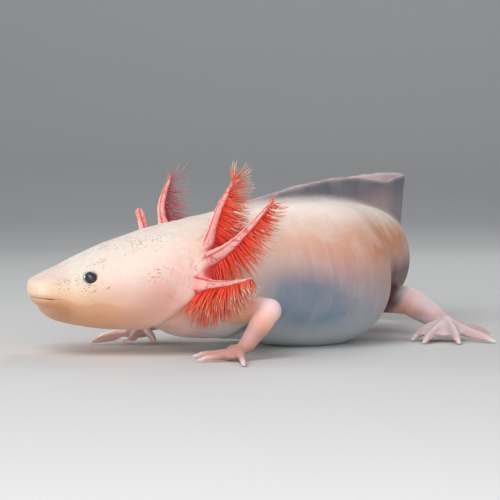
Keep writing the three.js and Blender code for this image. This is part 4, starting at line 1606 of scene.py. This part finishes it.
    def gills(self, body: Trunk, points: Array) -> tuple[Array, ...]:
        """Where the gills' tints lie.

        Args:
            body: the trunk.
            points: the skin's points.

        Returns:
            How much each point belongs to a stalk, to the flushed skin at the roots and to the
            hollows between them, the red strip of each stalk that carries filaments, and the
            place across the stalk, from -1 to 1.
        """
        inside, bed, hollow, flush = (np.zeros(len(points)) for _ in range(4))
        across = np.full(len(points), 3.0)
        near = np.flatnonzero(np.linalg.norm(points - body.beside(37.0, 0.0, 24.0), axis=1) < 40)
        for gill in GILLS:
            path = gill.path(body)
            where, gap = path.nearest(points[near])
            radius = gill.radius(where)
            member = smoothstep(radius + 1.0, radius + 0.15, gap) * smoothstep(0.0, 0.16, where)
            inside[near] = np.maximum(inside[near], member)
            away = (points[near] - path.at(where)) @ gill.hang_way(body) / radius
            close = (gap < radius + 0.6) & (where > 0.05)
            bed[near] = np.maximum(bed[near], 0.8 * smoothstep(0.28, 0.75, away) * close)
            across[near[close]] = away[close]
        for flank in Flank:
            roots = [np.array(g.marks[0]) for g in GILLS if g.flank is flank]
            for one, two in zip(roots[:-1], roots[1:]):
                at, side, up = 0.5 * (one + two) + [2.4, 1.5, 0.2]
                gap = np.linalg.norm(points - body.beside(at, flank.value * side, up), axis=1)
                hollow = np.maximum(hollow, smoothstep(3.4, 1.6, gap))
                flush = np.maximum(flush, bell(gap, 0, 6.0))
        return inside, flush, hollow, bed, across

    def armpits(self, body: Trunk, points: Array) -> Array:
        """The crease between each upper arm, the chest and the belly, darkened with painted shade.

        Args:
            body: the trunk.
            points: the skin's points.

        Returns:
            How deep the crease is dented and how dark its painted shade is, at each point.
        """
        dark = np.zeros(len(points))
        at, side, up = np.array(self.crease).T
        for flank in Flank:
            share, gap = Path(body.beside(at, flank.value * side, up)).nearest(points)
            dark = np.maximum(dark, bell(gap, 0, 1.9 - 1.1 * share) * (1 - 0.5 * share))
        return dark

    def legs(self, points: Array) -> tuple[Array, Array, Array]:
        """How much each point belongs to a leg, to the pale parts (toes and feet, painted light on the legs'
        upper sides, and elbow and knee spots that are partly paler skin, partly painted highlight), and to
        the duller hand.

        Args:
            points: the skin's points.

        Returns:
            The three shares.
        """
        member, pale, hand = (np.zeros(len(points)) for _ in range(3))
        for name, leg in LEGS.items():
            hip, knee, ankle, palm = leg.joints()
            hind = name.startswith("hind")
            for start, end, radius, cool in (
                (hip, knee, leg.radii[0], 0.0), (knee, ankle, leg.radii[2], 0.9),
            ):
                along = end - start
                share = np.clip((points - start) @ along / (along @ along), 0, 1)
                away = points - start - share[:, None] * along
                part = smoothstep(radius + 2.2, radius + 0.4, np.linalg.norm(away, axis=1))
                member = np.maximum(member, part)
                dull = np.maximum(0.3 * hind, cool * smoothstep(0.1, 0.8, share))
                hand = np.maximum(hand, part * dull)
                # painted light: each leg's upper side is paler, as lit from above; the hind legs are also a
                # little pale all round
                rise = smoothstep(-0.2, 0.9, away[:, 2] / radius)
                pale = np.maximum(pale, part * (0.25 + 0.85 * rise if hind else 0.3 * rise))
            foot = np.linalg.norm(points - palm, axis=1)
            part = smoothstep(16, 12, foot) * (points[:, 2] < 5.2)
            member = np.maximum(member, part)
            hand = np.maximum(hand, leg.coolness * part)
            pale = np.maximum(pale, leg.pallor * part)
            # a pale spot on top of each elbow and knee, towards the camera: partly paler skin, partly painted
            # highlight
            elbow = np.linalg.norm(points - knee - [0.4, -1.0, 1.6], axis=1)
            pale = np.maximum(pale, 1.5 * bell(elbow, 0, 3.2))
            for tip in leg.tips:
                gap = np.linalg.norm(points[:, :2] - np.array(tip), axis=1)
                pale = np.maximum(pale, smoothstep(leg.pale_tip, 0.0, gap) * (points[:, 2] < 4))
        return member, pale, hand


# ------------------------------------------------------------------ pieces


@dataclass
class Skin:
    """The one skin over head, trunk, fins, legs and gill stalks.

    Attributes:
        grain: side of the fused surface's cells, in millimetres.
        most: how many triangles the skin may have.
        floor: height at which the underside lies flat.
        fine_reaches: how far the finer faces go round eyes and mouth, once for each halving.
        nodes: the solids that the skin stands for.
    """

    grain: float = 0.45
    most: int = 190000
    floor: float = 0.0
    fine_reaches: tuple = (1.5, 0.5)
    nodes: tuple = (
        "head", "lower_jaw", "neck", "chest", "belly", "pelvis", "tail_base", "tail_middle", "tail_end",
        "dorsal_fin", "tail_fin_upper_front", "tail_fin_upper_middle", "tail_fin_lower_front",
        "tail_fin_lower_middle", "tail_fin_end", "upper_arm_left", "forearm_left", "hand_left",
        "upper_arm_right", "forearm_right", "hand_right", "thigh_left", "shin_left", "foot_left",
        "thigh_right", "shin_right", "foot_right",
    )

    def build(self, body: Trunk, fins: Fins, face: Face) -> bpy.types.Object:
        """Fuses the forms, rounds their joins, adds the folds and colours, and makes the piece.

        Args:
            body: the trunk.
            fins: the fins.
            face: the head's forms.

        Returns:
            The skin as one piece.
        """
        shells = [body.form(), *fins.form(body)]
        for leg in LEGS.values():
            shells += leg.form()
        shells += [gill.form(body) for gill in GILLS]
        shell = remade(Shell.joined(shells), "REMESH", {"mode": "VOXEL", "voxel_size": self.grain})
        LOG.info("fused form: %d triangles", len(shell.triangles))
        shell = self.smoothed(shell)
        for reach in self.fine_reaches:
            shell = refined(shell, face.fine_places(body, shell.points, body.lie(shell.points), reach))
            net = Net(shell.triangles, len(shell.points))
            near = face.fine_places(body, shell.points, body.lie(shell.points), reach)[:, None]
            shell.points += near * 0.5 * (net.mean(shell.points) - shell.points)
        lie = body.lie(shell.points)
        normals = outward(shell.points, shell.triangles)
        moved = face.relief(body, shell.points, lie) + Folds().relief(body, shell.points, lie)
        points = shell.points + normals * moved[:, None]
        points[:, 2] = np.maximum(points[:, 2], self.floor)
        share = min(1.0, self.most / len(shell.triangles))
        shell = remade(Shell(points, shell.triangles), "DECIMATE", {"ratio": share})
        fields = Markings().fields(body, fins, face, shell.points, body.lie(shell.points))
        thing = mesh_object("skin", shell.points, shell.triangles, fields)
        thing.data.materials.append(MoistSkin().build())
        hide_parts(*self.nodes)
        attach(thing, "root")
        return thing

    def smoothed(self, shell: Shell) -> Shell:
        """Takes the grid's steps off the form, and rounds only its hollow creases.

        A pass moves each point half way to its neighbours' mean, and a pass back stops
        the form from shrinking. A crease is where that mean lies outside the surface.

        Args:
            shell: the fused form.

        Returns:
            The smoothed form, with the same triangles.
        """
        net = Net(shell.triangles, len(shell.points))
        points = shell.points
        for _ in range(4):
            points = points + 0.5 * (net.mean(points) - points)
            points = points - 0.52 * (net.mean(points) - points)
        pull = net.mean(points) - points
        hollow = smoothstep(0.012, 0.05, (pull * outward(points, shell.triangles)).sum(1))
        for _ in range(5):
            hollow = np.maximum(hollow, 0.92 * net.mean(hollow))
        hollow = smoothstep(0.05, 0.5, hollow)[:, None]
        for _ in range(14):
            points = points + 0.6 * hollow * (net.mean(points) - points)
        return Shell(points, shell.triangles)


@dataclass
class Eye:
    """One eyeball: a sphere with a slightly bulging cornea."""

    flank: Flank

    def build(self, body: Trunk, face: Face, finish: bpy.types.Material) -> bpy.types.Object:
        """Turned surface: radius (1 + bulge near the axis), over the polar angle and round it.

        Args:
            body: the trunk.
            face: the head's forms.
            finish: material of the eyeball.

        Returns:
            The eyeball as one piece.
        """
        polar = np.linspace(0.02, np.pi - 0.02, 36)
        turn = np.linspace(0, 2 * np.pi, 48, endpoint=False)
        radius = face.eye_radius * (0.985 + 0.04 * bell(polar, 0, 0.55))
        axis, centre = face.eye_axis(body, self.flank), face.eye_centre(body, self.flank)
        first = unit(np.cross(axis, [0.0, 0.0, 1.0]))
        second = np.cross(axis, first)
        spread = (radius * np.sin(polar))[:, None, None]
        ring = spread * (np.cos(turn)[None, :, None] * first + np.sin(turn)[None, :, None] * second)
        rings = centre + (radius * np.cos(polar))[:, None, None] * axis + ring
        shell = loft(rings[::-1])
        away = shell.points - centre
        depth = away @ axis
        ring_place = np.linalg.norm(away - depth[:, None] * axis, axis=1) / face.eye_radius
        ring_place = np.where(depth > 0, ring_place, 1.0)
        fields = {"ring": ring_place, "belt": bell(ring_place, 0.5, 0.14)}
        name = f"eye_{self.flank.name.lower()}_ball"
        thing = mesh_object(name, shell.points, shell.triangles, fields)
        thing.data.materials.append(finish)
        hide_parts(f"eye_{self.flank.name.lower()}")
        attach(thing, "root")
        return thing


@dataclass
class Filaments:
    """The fringe of one gill: rows of tapering threads that curve towards the stalk's tip.

    Attributes:
        gill: the gill they grow on.
        rows: each row's turn round the stalk, in degrees from the way the threads hang.
        radius: radius of a thread at its root, in millimetres.
        sides: corners of a thread's section.
        rings: sections along a thread.
    """

    gill: Gill
    rows: tuple = (-36.0, -13.0, 13.0, 36.0)
    radius: float = 0.23
    sides: int = 4
    rings: int = 6

    def build(self, body: Trunk, finish: bpy.types.Material, seed: int) -> bpy.types.Object:
        """Threads on cubic curves from the stalk: out, then bent along it and down.

        Args:
            body: the trunk.
            finish: material of the threads.
            seed: start of the random variation.

        Returns:
            The fringe as one piece.
        """
        draw, gill = np.random.default_rng(seed), self.gill
        path, hang = gill.path(body), gill.hang_way(body)
        count = gill.per_row * len(self.rows)
        share = np.tile(np.linspace(gill.first, gill.last, gill.per_row), len(self.rows))
        share = np.clip(share + draw.normal(0, 0.006, count), gill.first, gill.last)
        tuft = smoothstep(1 - 0.1 * gill.tuft, 1.0, share)
        angle = np.radians(np.repeat(self.rows, gill.per_row) + draw.normal(0, 3.5, count))
        angle = angle * (1 + gill.tuft * tuft)
        along = path.along(share)
        away = unit(hang - (along @ hang)[:, None] * along)
        across = np.cross(along, away)
        lean = draw.normal(0, 0.04, count) + gill.fan * tuft
        way = unit(away * np.cos(angle)[:, None] + across * np.sin(angle)[:, None] + along * lean[:, None])
        length = gill.reach * (1 - 0.4 * share) * (0.72 + 0.4 * np.sin(np.pi * np.clip(share, 0, 1)))
        length = length * (1 - 0.12 * np.abs(angle) + 0.15 * gill.fan * tuft)
        length = length * draw.uniform(0.86, 1.1, count)
        start = path.at(share) + way * (0.55 * gill.radius(share))[:, None]
        low, high = gill.curl
        curl = (low + (high - low) * share + draw.normal(0, 0.06, count))[:, None] * along
        fall = np.array([0, 0, -0.36]) * (1 - share)[:, None]
        sway = draw.normal(0, 0.055, (count, 3))
        corners = (
            start,
            start + length[:, None] * 0.36 * way,
            start + length[:, None] * (0.72 * way + 0.3 * curl + 0.4 * fall + 0.5 * sway),
            start + length[:, None] * (0.95 * way + curl + fall + sway),
        )
        t = np.linspace(0, 1, self.rings)[None, :, None]
        a, b, c, d = (corner[:, None] for corner in corners)
        centre = a * (1 - t) ** 3 + 3 * b * t * (1 - t) ** 2 + 3 * c * t**2 * (1 - t) + d * t**3
        tangent = unit(np.gradient(centre, axis=1))
        first = unit(np.cross(tangent, along[:, None]))
        second = np.cross(tangent, first)
        taper = 1 - 0.78 * t[0, :, 0] ** 0.75
        size = self.radius * gill.fullness * taper[None] * draw.uniform(0.8, 1.15, count)[:, None]
        size = size * (1 - 0.3 * share)[:, None]
        turn = np.linspace(0, 2 * np.pi, self.sides, endpoint=False)
        spokes = np.cos(turn)[:, None] * first[:, :, None] + np.sin(turn)[:, None] * second[:, :, None]
        points = centre[:, :, None] + size[:, :, None, None] * spokes
        return self.piece(points, share, draw.uniform(0, 1, count), finish)

    def piece(self, points: Array, share: Array, vary: Array, finish: bpy.types.Material) -> bpy.types.Object:
        """Joins the threads, closes their ends and lays them side by side on a map.

        Args:
            points: by thread, ring and corner.
            share: each thread's place along the stalk, from 0 to 1.
            vary: a random number for each thread.
            finish: material of the threads.

        Returns:
            The fringe as one piece.
        """
        count, rings, sides = points.shape[:3]
        one = loft(points[0]).triangles
        step = rings * sides + 2
        caps = np.stack([points[:, 0].mean(1), points[:, -1].mean(1)], axis=1)
        every = np.concatenate([points.reshape(count, -1, 3), caps], axis=1)
        triangles = (one[None] + step * np.arange(count)[:, None, None]).reshape(-1, 3)
        where = np.concatenate([np.repeat(np.linspace(0, 1, rings), sides), [0.0, 1.0]])
        pallor = self.gill.pallor
        tone = np.tile(where, count) * (1 - pallor) + pallor * np.repeat(share, step)
        fields = {"along": np.clip(tone, 0, 1), "vary": np.repeat(vary, step)}
        thing = mesh_object(f"{self.gill.name}_fringe", every.reshape(-1, 3), triangles, fields)
        mesh = thing.data
        layer = mesh.uv_layers.new(name="OFBake")
        loops = np.empty(len(mesh.loops), np.int32)
        mesh.loops.foreach_get("vertex_index", loops)
        round_share = np.concatenate([np.tile(np.arange(sides) / sides, rings), [0.5, 0.5]])
        u = (loops // step + 0.1 + 0.8 * round_share[loops % step]) / count
        places = np.stack([u, 0.02 + 0.96 * where[loops % step]], axis=1)
        layer.data.foreach_set("uv", places.astype(np.float32).ravel())
        mesh.materials.append(finish)
        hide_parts(self.gill.name)
        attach(thing, "root")
        return thing


@dataclass
class Studio:
    """Pale floor that sweeps up behind, soft lamps and the camera.

    Attributes:
        floor: colour of the floor.
        profile: the floor's section, as places along y and heights.
        sky: colour and strength of the light from all sides.
        lamps: name, place, target, size and power of each lamp.
        eye_point: where the camera stands.
        pitch: how far it looks up, in degrees.
        focal: its focal length, in millimetres.
    """

    floor: str = "#D9D8D6"
    profile: tuple = (
        (-900, 0), (500, 0), (640, 8), (760, 36), (850, 90), (900, 180), (920, 320), (925, 900),
    )
    sky: tuple = ("#DCE2EA", 0.34)
    lamps: tuple = (
        ("key", (-170, -370, 380), (-10, 0, 12), 320, 1.48),
        ("fill", (60, -460, 90), (0, 0, 12), 380, 1.2),
        ("side", (-400, 90, 70), (-36, -4, 4), 160, 0.75),
        ("rim", (120, 420, 360), (0, 20, 20), 260, 0.6),
    )
    eye_point: tuple = (-14.5, -472.0, 41.2)
    pitch: float = -2.48
    focal: float = 150.2

    def build(self) -> None:
        """Builds the floor, the lamps, the sky and the camera."""
        self.build_floor()
        for lamp in self.lamps:
            self.lamp(*lamp)
        colour, strength = self.sky
        world = bpy.data.worlds.new("studio_air")
        world.use_nodes = True
        background = world.node_tree.nodes["Background"]
        background.inputs["Color"].default_value = linear(colour)
        background.inputs["Strength"].default_value = strength
        scene = bpy.context.scene
        scene.world = world
        scene.view_settings.view_transform = "Standard"
        camera = bpy.data.cameras.new("camera")
        camera.lens = self.focal
        camera.sensor_width = 36.0
        camera.clip_start, camera.clip_end = 0.01, 20.0
        holder = bpy.data.objects.new("camera", camera)
        holder.location = Vector(self.eye_point) * MM
        holder.rotation_euler = (math.radians(90 + self.pitch), 0, 0)
        scene.collection.objects.link(holder)
        scene.camera = holder

    def build_floor(self) -> None:
        """Sweeps the section over the floor's width, just under the animal."""
        y, z = np.array(self.profile, float).T
        x = np.linspace(-1500, 1500, 9)
        grid = np.stack(np.broadcast_arrays(x[None], y[:, None], z[:, None] - 0.02), axis=-1)
        row, column = np.meshgrid(np.arange(len(y) - 1), np.arange(len(x) - 1), indexing="ij")
        a = row * len(x) + column
        faces = np.stack([a, a + 1, a + len(x) + 1, a + len(x)], axis=-1).reshape(-1, 4)
        floor = mesh_object("studio_floor", grid.reshape(-1, 3), faces, {})
        material = bpy.data.materials.new("studio_paper")
        material.use_nodes = True
        shader = material.node_tree.nodes["Principled BSDF"]
        shader.inputs["Base Color"].default_value = linear(self.floor)
        shader.inputs["Roughness"].default_value = 0.8
        floor.data.materials.append(material)

    def lamp(self, name: str, place: tuple, target: tuple, size: float, power: float) -> None:
        """Adds a square soft lamp that faces a point.

        Args:
            name: the lamp's name.
            place: where it hangs, in millimetres.
            target: the point it faces.
            size: its side, in millimetres.
            power: in watts.
        """
        lamp = bpy.data.lights.new(name, "AREA")
        lamp.size = size * MM
        lamp.energy = power
        holder = bpy.data.objects.new(name, lamp)
        holder.location = Vector(place) * MM
        holder.rotation_euler = (Vector(target) - Vector(place)).to_track_quat("-Z", "Y").to_euler()
        bpy.context.scene.collection.objects.link(holder)


def main() -> None:
    """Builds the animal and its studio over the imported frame."""
    logging.basicConfig(level=logging.INFO, format="%(name)s: %(message)s")
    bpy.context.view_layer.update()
    body, fins, face = Trunk(), Fins(), Face()
    Studio().build()
    pieces = [Skin().build(body, fins, face)]
    eye_finish, near_finish = WetEye().build(), GillFilament().build("gill_filament")
    # the far gills' threads get a darker, duller copy of the thread finish: painted shade
    far_shaded_finish = GillFilament("#A23A42", "#B04E55", "#BC787E", "#DCC0C4").build("gill_filament_painted_shade")
    pieces += [Eye(flank).build(body, face, eye_finish) for flank in Flank]
    finishes = {Flank.LEFT: near_finish, Flank.RIGHT: far_shaded_finish}
    for number, gill in enumerate(GILLS):
        pieces.append(Filaments(gill).build(body, finishes[gill.flank], FIRST_SEED + number))
    for piece in pieces:
        LOG.info("%s: %d triangles", piece.name, len(piece.data.polygons))


if __name__ == "__main__":
    main()
